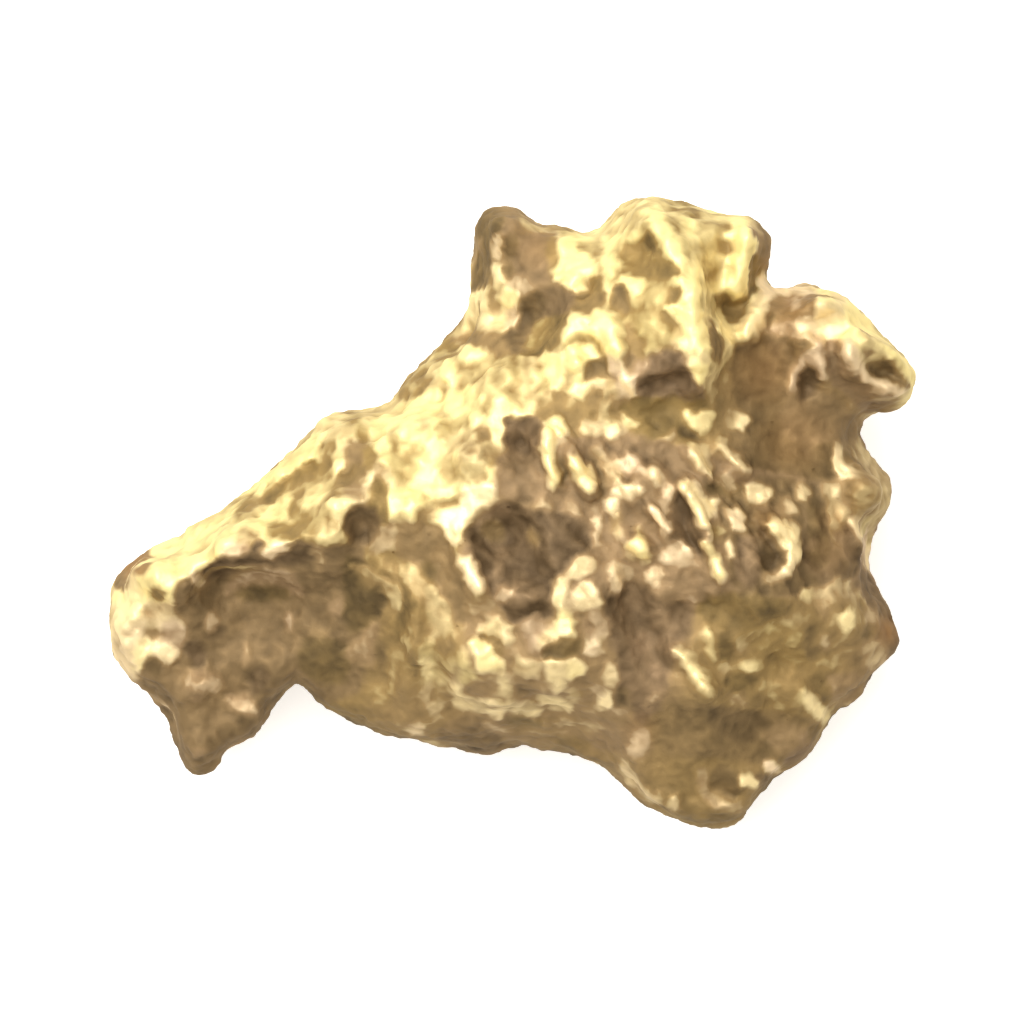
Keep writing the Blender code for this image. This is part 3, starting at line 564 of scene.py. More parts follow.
    (0.06, 0.5, (589, 456), (600, 462), (605, 475), (608, 490), (600, 500), (596, 480)),
    (0.12, 0.4, (553, 455), (561, 458), (567, 478), (561, 486), (556, 470)),
    (0.22, 0.8, (603, 446), (625, 450), (639, 452), (622, 461), (606, 457)),
    (0.03, 0.9, (670, 494), (682, 497), (688, 512), (696, 528), (704, 545), (702, 562), (690, 548),
     (674, 538), (667, 520)),
    (0.06, 0.6, (758, 530), (768, 538), (775, 552), (784, 560), (776, 571), (762, 564), (754, 545)),
    (0.18, 0.5, (720, 519), (729, 517), (732, 532), (724, 534)),
    (0.10, 0.2, (678, 426), (694, 434), (692, 441), (680, 438)),
    (0.15, 0.3, (700, 484), (736, 484), (740, 496), (722, 497), (700, 492)),
    (0.19, 0.7, (797, 504), (820, 500), (827, 530), (836, 552), (852, 560), (850, 580), (800, 582)),
    (0.22, 0.9, (734, 536), (756, 534), (762, 570), (744, 592), (728, 566)),
    (1.00, 0.2, (543, 423), (550, 420), (562, 421), (565, 434), (555, 439), (543, 435)),
    (1.00, 0.2, (541, 439), (553, 439), (554, 458), (557, 468), (560, 484), (552, 488), (546, 476),
     (544, 462), (540, 456)),
    (1.00, 0.2, (568, 457), (580, 458), (589, 468), (595, 482), (591, 494), (582, 491), (572, 481),
     (567, 470)),
    (0.72, 0.5, (576, 422), (600, 423), (605, 430), (602, 437), (590, 435), (578, 433)),
    (0.86, 0.4, (602, 427), (612, 425), (618, 434), (614, 444), (604, 441)),
    (0.66, 0.3, (592, 402), (610, 400), (605, 417), (597, 419)),
    (0.70, 0.5, (589, 447), (600, 455), (612, 462), (618, 470), (617, 486), (608, 483), (603, 470),
     (594, 461)),
    (0.60, 0.9, (621, 458), (637, 455), (641, 470), (628, 475), (618, 470)),
    (0.88, 0.6, (611, 488), (622, 484), (639, 485), (638, 499), (620, 501), (611, 497)),
    (0.88, 0.5, (605, 498), (616, 499), (618, 513), (609, 516), (604, 508)),
    (0.82, 0.6, (643, 469), (652, 467), (661, 480), (656, 488), (648, 483)),
    (0.70, 0.8, (661, 485), (671, 485), (671, 515), (663, 515)),
    (0.88, 0.8, (643, 506), (654, 507), (665, 518), (669, 532), (662, 536), (652, 524)),
    (1.00, 0.1, (634, 527), (642, 531), (644, 545), (649, 561), (638, 561), (622, 551), (620, 545),
     (631, 538)),
    (0.72, 0.7, (590, 521), (601, 518), (599, 530), (597, 546), (588, 544), (585, 532)),
    (0.55, 0.4, (611, 514), (619, 514), (620, 536), (611, 536)),
    (0.60, 0.7, (562, 498), (570, 500), (580, 508), (579, 521), (568, 519)),
    (0.62, 0.6, (522, 504), (549, 502), (549, 511), (528, 512)),
    (0.40, 0.6, (536, 534), (546, 540), (553, 556), (542, 557)),
    (0.78, 0.5, (571, 560), (580, 554), (593, 557), (595, 569), (580, 575), (562, 582), (556, 576)),
    (0.90, 0.4, (551, 582), (560, 577), (566, 584), (564, 604), (552, 604), (549, 592)),
    (0.92, 0.5, (577, 581), (588, 580), (597, 590), (601, 602), (590, 605), (582, 616), (576, 604)),
    (0.78, 0.7, (603, 563), (622, 561), (630, 568), (625, 578), (620, 583), (619, 597), (608, 597),
     (609, 580)),
    (0.78, 0.7, (645, 568), (656, 567), (658, 582), (648, 585)),
    (0.92, 0.2, (678, 413), (697, 418), (701, 410), (710, 413), (707, 425), (700, 440), (693, 430),
     (684, 422)),
    (0.64, 0.4, (718, 408), (730, 406), (738, 416), (734, 427), (720, 430)),
    (0.98, 0.5, (733, 417), (744, 417), (748, 427), (740, 434), (733, 428)),
    (0.90, 0.4, (685, 443), (697, 442), (703, 456), (713, 472), (706, 478), (696, 470), (689, 460)),
    (0.72, 0.5, (714, 443), (724, 442), (735, 455), (746, 472), (737, 472), (725, 462)),
    (0.68, 0.6, (714, 475), (724, 477), (735, 491), (728, 494), (719, 486)),
    (1.00, 0.4, (671, 481), (688, 482), (698, 496), (718, 500), (711, 515), (702, 529), (695, 525),
     (688, 510), (683, 498)),
    (0.62, 0.2, (704, 527), (716, 524), (720, 536), (712, 540)),
    (0.88, 0.5, (739, 481), (752, 486), (766, 485), (771, 494), (764, 503), (750, 503), (742, 492)),
    (0.92, 0.7, (723, 511), (732, 507), (740, 518), (740, 530), (732, 531), (726, 520)),
    (0.90, 0.4, (760, 518), (780, 517), (793, 532), (798, 545), (799, 562), (790, 568), (784, 560),
     (786, 549), (777, 549), (769, 536)),
    (0.70, 0.6, (796, 560), (792, 572), (780, 578), (763, 582), (761, 574), (776, 568), (786, 561)),
    (1.00, 0.2, (696, 542), (706, 539), (713, 550), (717, 562), (722, 578), (714, 582), (707, 570),
     (702, 556)),
    (0.84, 0.6, (721, 543), (730, 542), (732, 556), (724, 559)),
    (0.64, 0.6, (775, 497), (791, 495), (793, 513), (782, 518)),
    (0.72, 0.5, (791, 486), (800, 482), (810, 490), (805, 500), (794, 498)),
    (0.84, 0.5, (819, 485), (828, 482), (838, 490), (835, 503), (823, 501)),
    (0.56, 0.2, (823, 504), (840, 502), (842, 530), (846, 548), (834, 546), (828, 524)),
    (0.66, 0.8, (654, 550), (676, 540), (685, 545), (692, 557), (684, 567), (662, 565)),
    (0.88, 0.8, (675, 540), (684, 545), (690, 557), (680, 554)),
    (0.45, 0.9, (680, 596), (692, 594), (692, 606), (682, 608)),
    # the right side
    (0.28, 0.1, (692, 600), (720, 592), (770, 596), (786, 606), (776, 620), (740, 632), (700, 622)),
    (0.44, 0.7, (830, 670), (866, 676), (856, 700), (832, 706), (826, 690)),
    (0.84, 0.6, (831, 445), (839, 445), (844, 464), (852, 470), (848, 480), (838, 478), (831, 466)),
    (0.34, 0.4, (842, 448), (852, 446), (852, 460), (844, 462)),
    (0.74, 0.4, (852, 440), (870, 430), (884, 455), (872, 462), (856, 462)),
    (0.36, 0.4, (842, 480), (858, 480), (850, 500), (840, 498)),
    (0.62, 0.4, (862, 490), (880, 480), (905, 500), (890, 520), (870, 525)),
    (0.56, 0.3, (848, 492), (862, 480), (876, 500), (866, 516), (846, 516)),
    (0.66, 0.4, (824, 498), (834, 500), (846, 514), (840, 526), (832, 542), (825, 522)),
    (0.52, 0.8, (832, 532), (839, 534), (847, 556), (839, 558)),
    (0.10, 0.4, (804, 500), (818, 498), (822, 530), (828, 562), (812, 572), (804, 540)),
    (0.40, 0.7, (805, 538), (813, 538), (814, 550), (806, 550)),
    (0.94, 0.6, (842, 520), (855, 516), (866, 532), (879, 540), (880, 582), (866, 572), (855, 548)),
    (0.64, 0.2, (856, 516), (876, 516), (872, 545), (864, 540)),
    (0.08, 0.8, (838, 530), (845, 524), (854, 540), (860, 566), (846, 562), (840, 548)),
    (0.17, 0.8, (856, 566), (872, 574), (892, 600), (908, 640), (890, 652), (880, 638), (879, 612),
     (862, 602), (852, 582)),
    (0.62, 0.5, (797, 590), (826, 582), (838, 576), (848, 584), (856, 594), (848, 600), (800, 600)),
    (0.74, 0.3, (797, 588), (810, 588), (812, 599), (798, 600)),
    (0.60, 0.3, (780, 614), (792, 609), (804, 612), (806, 626), (792, 624), (780, 621)),
    (0.62, 0.1, (764, 622), (776, 621), (777, 632), (765, 632)),
    (0.56, 0.5, (814, 600), (826, 600), (824, 620), (816, 618)),
    (0.60, 0.6, (817, 634), (826, 634), (824, 650), (816, 650)),
    (0.98, 0.3, (838, 610), (849, 608), (854, 620), (850, 632), (840, 626)),
    (0.64, 0.7, (861, 609), (876, 610), (876, 622), (864, 622)),
    (0.30, 0.4, (860, 625), (876, 625), (876, 638), (862, 637)),
    (0.66, 0.6, (860, 644), (880, 640), (884, 655), (878, 672), (864, 668)),
    (0.16, 0.1, (712, 634), (728, 632), (732, 645), (726, 658), (714, 654)),
    (0.18, 0.1, (722, 668), (736, 672), (752, 668), (752, 684), (736, 690), (724, 684)),
    (0.26, 0.3, (800, 624), (814, 624), (816, 658), (802, 654)),
    (0.28, 0.2, (800, 680), (818, 672), (830, 690), (826, 708), (812, 692)),
    (0.72, 0.2, (702, 626), (711, 628), (714, 658), (706, 658)),
    (0.66, 0.4, (716, 660), (727, 660), (727, 672), (718, 676)),
    (0.88, 0.3, (739, 660), (752, 659), (754, 668), (741, 669)),
    (0.56, 0.4, (732, 636), (743, 638), (742, 652), (733, 650)),
    (0.60, 0.2, (754, 680), (786, 680), (788, 686), (770, 696), (756, 690)),
    (0.60, 0.5, (728, 690), (742, 692), (746, 703), (738, 706), (728, 700)),
    (0.88, 0.4, (801, 695), (808, 689), (818, 700), (830, 716), (826, 724), (808, 712)),
    # the lower lobe
    (0.29, 0.4, (640, 706), (690, 700), (740, 708), (800, 716), (826, 722), (812, 748), (770, 765),
     (720, 756), (660, 752), (650, 730)),
    (0.16, 0.5, (700, 706), (735, 710), (772, 716), (766, 738), (735, 742), (712, 730)),
    (0.38, 0.6, (762, 722), (800, 722), (812, 736), (790, 756), (764, 748)),
    (0.50, 0.8, (794, 733), (806, 732), (808, 746), (798, 750)),
    (0.40, 0.7, (566, 716), (636, 720), (630, 750), (600, 748), (560, 736)),
    (0.66, 0.8, (634, 722), (647, 722), (648, 744), (640, 760), (622, 752), (632, 740)),
    (0.74, 0.6, (618, 762), (626, 760), (634, 776), (650, 790), (664, 800), (650, 806), (630, 790)),
    (0.80, 0.5, (669, 794), (678, 792), (680, 808), (668, 810)),
    (0.47, 0.6, (694, 768), (706, 768), (708, 784), (718, 800), (742, 804), (742, 812), (716, 808),
     (702, 794)),
    (0.18, 0.4, (711, 764), (730, 766), (738, 782), (738, 798), (722, 800), (711, 784)),
    (1.00, 0.4, (737, 772), (754, 771), (757, 785), (738, 788)),
    (0.92, 0.9, (760, 760), (768, 758), (780, 768), (786, 780), (772, 774), (762, 768)),
    (0.22, 0.7, (756, 772), (766, 776), (776, 782), (766, 792), (758, 784)),
    (0.28, 0.9, (790, 750), (810, 742), (830, 740), (800, 770), (784, 768)),
    # the middle pit
    (0.05, 0.9, (466, 532), (485, 512), (505, 502), (520, 508), (552, 513), (590, 520), (590, 548),
     (570, 556), (552, 575), (548, 602), (556, 612), (530, 624), (510, 624), (498, 604), (482, 588),
     (476, 570), (465, 556)),
    (0.28, 0.4, (478, 524), (500, 518), (506, 536), (490, 544)),
    (0.30, 0.9, (494, 548), (504, 545), (508, 562), (500, 580), (494, 572)),
    (1.00, 0.6, (461, 556), (471, 553), (474, 566), (482, 580), (484, 594), (474, 590), (464, 574)),
    (0.55, 0.8, (500, 585), (512, 584), (512, 600), (500, 604), (492, 596)),
    (0.40, 0.4, (527, 527), (540, 532), (536, 546), (528, 540)),
    # the pit on its right
    (0.21, 0.9, (602, 600), (622, 584), (640, 584), (660, 604), (690, 600), (690, 626), (668, 650),
     (664, 700), (640, 722), (630, 692), (612, 692), (618, 656), (606, 640), (608, 622)),
    (0.36, 1.0, (622, 648), (632, 632), (646, 636), (644, 656), (628, 664)),
    (0.36, 1.0, (648, 664), (657, 664), (656, 676), (648, 674)),
    (0.55, 0.8, (644, 698), (656, 687), (664, 690), (658, 698), (646, 704)),
    (0.90, 0.3, (670, 645), (684, 648), (696, 660), (706, 676), (710, 692), (700, 688), (690, 668),
     (678, 656)),
    # the low middle
    (0.45, 0.6, (478, 596), (500, 600), (510, 624), (530, 626), (550, 616), (600, 606), (606, 640),
     (616, 656), (612, 690), (626, 712), (600, 716), (540, 716), (460, 714), (450, 680), (470, 640),
     (466, 620)),
    (0.28, 0.2, (484, 632), (494, 629), (500, 640), (500, 655), (490, 650), (482, 640)),
    (0.72, 0.3, (480, 632), (484, 620), (496, 617), (502, 621), (512, 624), (513, 640), (503, 642),
     (497, 631), (488, 628)),
    (0.88, 0.5, (501, 625), (510, 625), (512, 638), (504, 641)),
    (1.00, 0.1, (468, 640), (478, 636), (490, 643), (494, 655), (504, 661), (504, 670), (479, 671),
     (476, 656)),
    (0.68, 0.1, (457, 650), (468, 650), (469, 664), (478, 672), (477, 680), (461, 682), (458, 668)),
    (0.76, 0.4, (450, 684), (462, 680), (466, 695), (474, 698), (502, 699), (514, 704), (502, 713),
     (486, 710), (460, 710), (452, 698)),
    (0.92, 0.5, (488, 700), (498, 702), (505, 716), (496, 717), (490, 709)),
    (0.66, 0.4, (500, 664), (507, 668), (509, 680), (514, 696), (500, 698), (498, 680)),
    (0.76, 0.4, (511, 657), (522, 657), (539, 659), (538, 675), (524, 675), (512, 669)),
    (0.68, 0.4, (508, 699), (524, 704), (539, 702), (539, 714), (515, 714), (505, 706)),
    (0.62, 0.9, (521, 622), (536, 611), (543, 620), (541, 634), (547, 640), (545, 649), (534, 651),
     (523, 640)),
    (0.76, 0.4, (537, 634), (548, 627), (559, 630), (563, 637), (552, 643), (540, 647)),
    (0.26, 0.2, (546, 649), (562, 636), (579, 634), (581, 654), (560, 657), (544, 656)),
    (1.00, 0.1, (556, 609), (563, 606), (571, 611), (574, 622), (571, 632), (561, 633), (555, 624)),
    (0.86, 0.4, (542, 659), (560, 657), (579, 657), (581, 669), (574, 675), (563, 676), (562, 685),
     (550, 685), (547, 674)),
    (1.00, 0.2, (566, 660), (579, 660), (580, 673), (569, 675)),
    (0.82, 0.4, (539, 691), (552, 693), (567, 699), (574, 704), (567, 711), (552, 707), (539, 701)),
    (0.68, 0.4, (566, 690), (576, 685), (581, 694), (570, 701)),
    (0.92, 0.8, (585, 641), (599, 640), (601, 653), (594, 657), (583, 655)),
    (0.62, 0.8, (582, 618), (592, 606), (607, 615), (607, 630), (598, 638), (585, 640)),
    (0.82, 0.5, (602, 665), (613, 663), (617, 676), (611, 685), (602, 681)),
    (0.98, 0.5, (595, 693), (609, 691), (613, 707), (597, 710)),
    (0.62, 0.7, (589, 684), (600, 684), (602, 694), (591, 696)),
    (0.60, 0.7, (612, 704), (626, 704), (627, 713), (614, 714)),
    (0.14, 0.5, (613, 687), (627, 687), (625, 703), (612, 702)),
    (0.28, 0.2, (508, 716), (537, 716), (541, 723), (524, 728), (511, 724)),
    (0.26, 0.6, (440, 726), (462, 714), (478, 714), (484, 728), (503, 734), (505, 765), (440, 765)),
    (0.60, 0.7, (483, 718), (494, 721), (505, 731), (500, 735), (487, 728)),
    (0.56, 0.5, (551, 718), (580, 718), (601, 724), (600, 733), (560, 732)),
    (0.30, 0.3, (552, 736), (590, 737), (592, 748), (560, 756)),
)  # fmt: skip

# Rust-coloured stains: (across, down, reach in squares, strength)
STAINS = (
    (790, 308, 26, 0.12), (888, 630, 16, 0.25), (538, 250, 22, 0.08), (135, 562, 18, 0.3),
    (835, 520, 22, 0.12), (762, 372, 40, 0.16), (790, 440, 40, 0.12), (826, 550, 26, 0.08),
    (300, 450, 12, 0.2), (765, 520, 20, 0.1), (640, 725, 18, 0.1),
)  # fmt: skip


class NuggetSurface(bpy.types.PropertyGroup):
    voxel: FloatProperty(
        name="Face size",
        description="Side of the small faces that the surface is laid out in",
        default=0.05 * MM,
        unit="LENGTH",
        precision=6,
    )
    pebble_height: FloatProperty(
        name="Pebble height",
        description="How far the rounded pebbles of the worn faces stand out",
        default=0.06 * MM,
        unit="LENGTH",
        precision=6,
    )
    sliver_height: FloatProperty(
        name="Sliver height",
        description="How far the long grains of the right middle stand out",
        default=0.07 * MM,
        unit="LENGTH",
        precision=6,
    )
    gold: FloatVectorProperty(
        name="Clean gold",
        description="Colour of the gold where it is rubbed clean",
        default=(1.0, 0.84, 0.39),
        subtype="COLOR",
    )
    pale_gold: FloatVectorProperty(
        name="Pale gold",
        description="Colour of clean gold on the slivers between brown film",
        default=(1.0, 0.78, 0.53),
        subtype="COLOR",
    )
    olive_gold: FloatVectorProperty(
        name="Half-rubbed gold",
        description="Colour of the gold that shows through the greenish film",
        default=(0.33, 0.22, 0.075),
        subtype="COLOR",
    )
    brown_gold: FloatVectorProperty(
        name="Half-rubbed brown gold",
        description="Colour of the gold that shows through the brown film",
        default=(0.36, 0.24, 0.13),
        subtype="COLOR",
    )
    olive_film: FloatVectorProperty(
        name="Olive film",
        description="Colour of the gold under the thin greenish film",
        default=(0.096, 0.064, 0.024),
        subtype="COLOR",
    )
    brown_film: FloatVectorProperty(
        name="Brown film",
        description="Colour of the gold under the brown film of the pits",
        default=(0.092, 0.056, 0.025),
        subtype="COLOR",
    )
    stain: FloatVectorProperty(
        name="Rust stain",
        description="Colour of the iron stains",
        default=(0.50, 0.23, 0.06),
        subtype="COLOR",
    )


class NuggetStage(bpy.types.PropertyGroup):
    floor: FloatVectorProperty(
        name="Floor",
        description="Colour of the floor",
        default=(0.86, 0.86, 0.85),
        subtype="COLOR",
    )
    room: FloatVectorProperty(
        name="Room",
        description="Light of the room away from the window",
        default=(0.68, 0.64, 0.56),
        subtype="COLOR",
    )
    window: FloatVectorProperty(
        name="Window",
        description="Soft light that comes in low at the window",
        default=(1.08, 1.02, 0.90),
        subtype="COLOR",
    )
    window_turn: FloatProperty(
        name="Window turn",
        description="Where the window is, anticlockwise from the right",
        default=math.radians(110),
        subtype="ANGLE",
    )
    softbox_power: FloatProperty(
        name="Softbox power",
        description="Power of the softbox",
        default=0.17,
        unit="POWER",
    )
    softbox_turn: FloatProperty(
        name="Softbox turn",
        description="Where the softbox stands, anticlockwise from the right",
        default=math.radians(135),
        subtype="ANGLE",
    )
    softbox_rise: FloatProperty(
        name="Softbox rise",
        description="Height of the softbox above the horizon",
        default=math.radians(66),
        subtype="ANGLE",
    )
    lens: FloatProperty(
        name="Lens",
        description="Focal length of the camera",
        default=300,
        unit="CAMERA",
    )


def place(across, down):
    """A point of the plan in metres, as (x, y)."""
    return (across - PLAN_ORIGIN[0]) * SQUARE, (PLAN_ORIGIN[1] - down) * SQUARE


def places(points):
    """Points of the plan in metres, as rows of (x, y)."""
    return np.array([place(*point[:2]) for point in points])


def dome(share):
    """1 at the middle, 0 from share 1 outwards."""
    return np.clip(1 - share**2, 0, 1) ** 1.5


def smooth(share):
    """Eased from 0 to 1."""
    share = np.clip(share, 0, 1)
    return share * share * (3 - 2 * share)


def near(xy, line, reach):
    """The rows of (x, y) in a box round a line's points."""
    inside = (xy > line.min(axis=0) - reach) & (xy < line.max(axis=0) + reach)
    return np.flatnonzero(inside.all(axis=1))


def gap_to_line(xy, line):
    """The distance from each row of (x, y) to a broken line."""
    gap = np.full(len(xy), np.inf)
    for start, end in zip(line[:-1], line[1:]):
        run = end - start
        share = np.clip(((xy - start) @ run) / (run @ run), 0, 1)
        gap = np.minimum(gap, np.linalg.norm(xy - start - share[:, None] * run, axis=1))
    return gap


def within(xy, outline):
    """Which rows of (x, y) are inside a closed outline."""
    inside = np.zeros(len(xy), bool)
    for start, end in zip(outline[:-1], outline[1:]):
        beside = (xy[:, 1] < start[1]) != (xy[:, 1] < end[1])
        rise = (xy[:, 1] - start[1]) * (end[0] - start[0])
        left = (xy[:, 0] - start[0]) * (end[1] - start[1])
        inside ^= beside & ((left < rise) == (end[1] > start[1]))
    return inside


def rounded(outline):
    """The outline as a closed line, with its corners cut off twice."""
    line = places(outline)
    for _ in range(2):
        after = np.roll(line, -1, axis=0)
        line = np.hstack([0.75 * line + 0.25 * after, 0.25 * line + 0.75 * after]).reshape(-1, 2)
    return np.vstack([line, line[:1]])


def raise_form(carved, rows, share, rise):
    """Raises or cuts a form on these rows; a raised top is painted lighter, as bare gold and painted
    highlight, and a cut darker, as film and painted shade.
    """
    height, rub_and_lit = carved
    height[rows] += rise * MM * dome(share)
    rub_and_lit[rows] += np.clip(rise / FULL_RUB_AND_LIGHT, -1, 1) * smooth(1.8 - 1.8 * share)


def add_line(carved, xy, width, rise, line):
    """A ridge or a cut along a broken line."""
    line = places(line)
    reach = width * SQUARE * FADE
    rows = near(xy, line, reach)
    raise_form(carved, rows, gap_to_line(xy[rows], line) / reach, rise)


def add_oval(carved, xy, across, down, long, wide, turn, rise):
    """A mound or a pit."""
    middle = np.array([place(across, down)])
    rows = near(xy, middle, max(long, wide) * SQUARE * FADE)
    offset = xy[rows] - middle
    turn = math.radians(turn)
    along = offset @ np.array([math.cos(turn), math.sin(turn)])
    aside = offset @ np.array([-math.sin(turn), math.cos(turn)])
    share = np.hypot(along / (long * SQUARE), aside / (wide * SQUARE)) / FADE
    raise_form(carved, rows, share, rise)


def carving(xy):
    """What is raised or cut on the top: its height in metres, and how much it is painted lighter, as bare gold
    and painted highlight, or darker, as film and painted shade, from -1 to 1.
    """
    carved = np.zeros((2, len(xy)))
    for width, rise, *line in RIDGES:
        add_line(carved, xy, width, rise, line)
    for width, depth, *line in GROOVES:
        add_line(carved, xy, width, -depth, line)
    for oval in OVALS:
        add_oval(carved, xy, *oval)
    height, rub_and_lit = carved
    return height, np.clip(rub_and_lit, -1, 1)


def region_values(xy):
    """Clean gold with painted light and shade in it, pebbles, slivers and brown tint at each row of (x, y),
    blended from the regions.
    """
    at = places(REGIONS)
    values = np.array([region[2:] for region in REGIONS])
    total = np.zeros((len(xy), values.shape[1]))
    weight = np.zeros(len(xy))
    for spot, value in zip(at, values):
        pull = 1 / (np.sum((xy - spot) ** 2, axis=1) + BLEND**2) ** 2
        total += pull[:, None] * value
        weight += pull
    return total / weight[:, None]


def patched(xy, values):
    """The regions' values with the patches laid over them, and how far each place stands out for it."""
    height = np.zeros(len(xy))
    for clean_and_lit, brown, *outline in PATCHES:
        line = rounded(outline)
        rows = near(xy, line, PATCH_EDGE)
        gap = gap_to_line(xy[rows], line)
        depth = np.where(within(xy[rows], line), gap, -gap)
        share = smooth(EDGE_OUTSIDE + depth / PATCH_EDGE)
        height[rows] += share * (clean_and_lit - values[rows, 0]) * PATCH_RELIEF
        for column, value in ((0, clean_and_lit), (3, brown)):
            values[rows, column] += share * (value - values[rows, column])
        values[rows, 1] *= 1 - PATCH_SMOOTHING * share
    return values, height


def pebbles(points, size):
    """Rounded grains packed together, from -1 in the gaps to 1 on top, at each row of (x, y, z)."""
    found = np.array([noise.voronoi(Vector(p) / size)[0][0] for p in points])
    return 1 - 2.4 * found**1.5


def lumps(points, size, shift):
    """Soft lumps from -1 to 1 at each row of (x, y, z). Each shift gives lumps of its own."""
    offset = Vector((shift, -shift, 0.5 * shift))
    return 2 * np.array([noise.noise(Vector(p) / size + offset) for p in points])


def slanted(points):
    """The points turned and squeezed, so that a pattern on them runs long and down to the right."""
    turn = np.array(Matrix.Rotation(math.radians(55), 3, "Z"))
    return (points @ turn.T) * np.array([0.38, 1, 0.7])


def frayed(points, upward):
    """Each point's place on the plan, pushed about a little, so that what is drawn has ragged edges."""
    push = np.zeros((len(points), 2))
    for size, share, shifts in ((0.4 * MM, 1, (11, 15)), (0.17 * MM, 0.5, (31, 35))):
        push += share * np.stack([lumps(points, size, shift) for shift in shifts], axis=1)
    return points[:, :2] + FRAY * push * upward[:, None]


def pebbled(points, upward, pebbly, slivered, settings):
    """How far the pebbles, their grain and the slivers stand out at each point."""
    pebbly = upward * pebbly + (1 - upward) * 0.5
    grain = pebbly * settings.pebble_height * (
        0.6 * pebbles(points, 0.5 * MM) + 0.7 * lumps(points, 0.32 * MM, 3)
    ) + GRAIN * lumps(points, 0.17 * MM, 5)
    sliver = upward * slivered * settings.sliver_height * pebbles(slanted(points), 0.3 * MM)
    return grain + sliver


def rubbed_and_lit(points, upward, facing, clean_and_lit, sides, relief, rub_and_lit):
    """How bright the gold's colour is at each point, bare gold against film with painted highlights and
    painted shade in it: as drawn where it faces up, and as its region, scaled down, on the sides. The gaps
    between pebbles are painted darker and drawn ridges lighter.
    """
    sides = 0.05 + 0.76 * sides
    sides += 0.22 * lumps(points, 0.9 * MM, 27) + 0.13 * lumps(points, 0.4 * MM, 29)
    # The drawn value rules on the top and the region's on the sides; the pebble term paints the gaps darker,
    # as film and painted shade, and the tops lighter.
    worn_and_lit = clean_and_lit * facing + sides * (1 - facing) + (0.4 + 0.6 * upward) * relief / SUNK
    worn_and_lit += upward * (0.05 * lumps(points, 0.28 * MM, 41) + 0.07 * lumps(points, 0.5 * MM, 45))
    # Drawn ridges paint their tops lighter, as bare gold and painted highlight, and cuts paint theirs darker,
    # as film and painted shade.
    worn_and_lit += upward * rub_and_lit * np.where(rub_and_lit > 0, RUB_AND_LIGHT_SHARE * (1 - clean_and_lit), RUB_AND_LIGHT_SHARE * clean_and_lit)
    return np.clip(worn_and_lit, 0, 1)


def stained(xy, upward):
    """How rusty each point is."""
    stain = np.zeros(len(xy))
    for across, down, reach, strength in STAINS:
        away = np.linalg.norm(xy - np.array(place(across, down)), axis=1)
        stain = np.maximum(stain, strength * dome(away / (reach * SQUARE * FADE)) * upward)
    return stain


def rows_of(owner, field):
    """A vector of each corner of a mesh, as rows of (x, y, z)."""
    found = np.empty(len(owner) * 3, np.float32)
    owner.foreach_get(field, found)
    return found.reshape(-1, 3).astype(float)


def store(mesh, name, values):
    """Keeps a number on each corner of the mesh, for the material to read."""
    layer = mesh.attributes.new(name, "FLOAT", "POINT")
    layer.data.foreach_set("value", values.astype(np.float32))


def merged_copy(node):
    """A copy of a CAD node's mesh, with its loose triangles merged."""
    form = bmesh.new()
    form.from_mesh(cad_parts[node].data)
    bmesh.ops.remove_doubles(form, verts=form.verts[:], dist=MERGE_GAP)
    mesh = bpy.data.meshes.new("nugget_surface")
    form.to_mesh(mesh)
    form.free()
    return mesh


def with_modifiers(mesh, *settings):
    """The mesh after modifiers, each given as (type, its settings)."""
    obj = bpy.data.objects.new("worked", mesh)
    bpy.context.scene.collection.objects.link(obj)
    for kind, values in settings:
        modifier = obj.modifiers.new(kind.title(), kind)
        for name, value in values.items():
            setattr(modifier, name, value)
    graph = bpy.context.evaluated_depsgraph_get()
    made = bpy.data.meshes.new_from_object(obj.evaluated_get(graph))
    bpy.data.objects.remove(obj)
    made.name = mesh.name
    return made


def worked_surface(settings):
    """The nugget's solid in fine faces, with its pebbles, slivers and hand-cut relief."""
    mesh = with_modifiers(
        merged_copy(NODE),
        ("REMESH", {"mode": "VOXEL", "voxel_size": settings.voxel}),
        ("SMOOTH", {"factor": 0.5, "iterations": 20}),
    )
    points = rows_of(mesh.vertices, "co")
    outward = rows_of(mesh.vertex_normals, "vector")
    upward = smooth(outward[:, 2] / WHOLE_RELIEF)
    facing = smooth((outward[:, 2] - NO_COLOUR) / TO_WHOLE_COLOUR)
    drawn = frayed(points, upward)
    broad = region_values(points[:, :2])
    values, stand = patched(drawn, broad.copy())
    clean_and_lit, pebbly, slivered, brown = values.T
    relief = pebbled(points, upward, pebbly, slivered, settings)
    swell = SWELL * lumps(points, 0.9 * MM, 7)
    cut, rub_and_lit = carving(drawn)
    cut = upward * (stand + CARVED * cut * (1 + 0.5 * lumps(points, 0.4 * MM, 21)))
    off_floor = np.clip(points[:, 2] / OFF_FLOOR, 0, 1)
    points += outward * ((relief + swell) * off_floor)[:, None]
    points[:, 2] += cut
    mesh.vertices.foreach_set("co", points.astype(np.float32).ravel())
    mesh.update()
    # This value holds bare gold against film and painted light together: painted highlights where the top is
    # turned to the light, painted shade in pits, gaps and hollows.
    store(mesh, "clean_and_lit", rubbed_and_lit(points, upward, facing, clean_and_lit, broad[:, 0], relief, rub_and_lit))
    store(mesh, "brown", np.clip(brown * facing + broad[:, 3] * (1 - facing), 0, 1))
    store(mesh, "stain", stained(points[:, :2], upward))
    share = MOST_FACES / (2 * len(mesh.polygons))
    mesh = with_modifiers(mesh, ("DECIMATE", {"ratio": share, "use_collapse_triangulate": True}))
    mesh.shade_smooth()
    return mesh


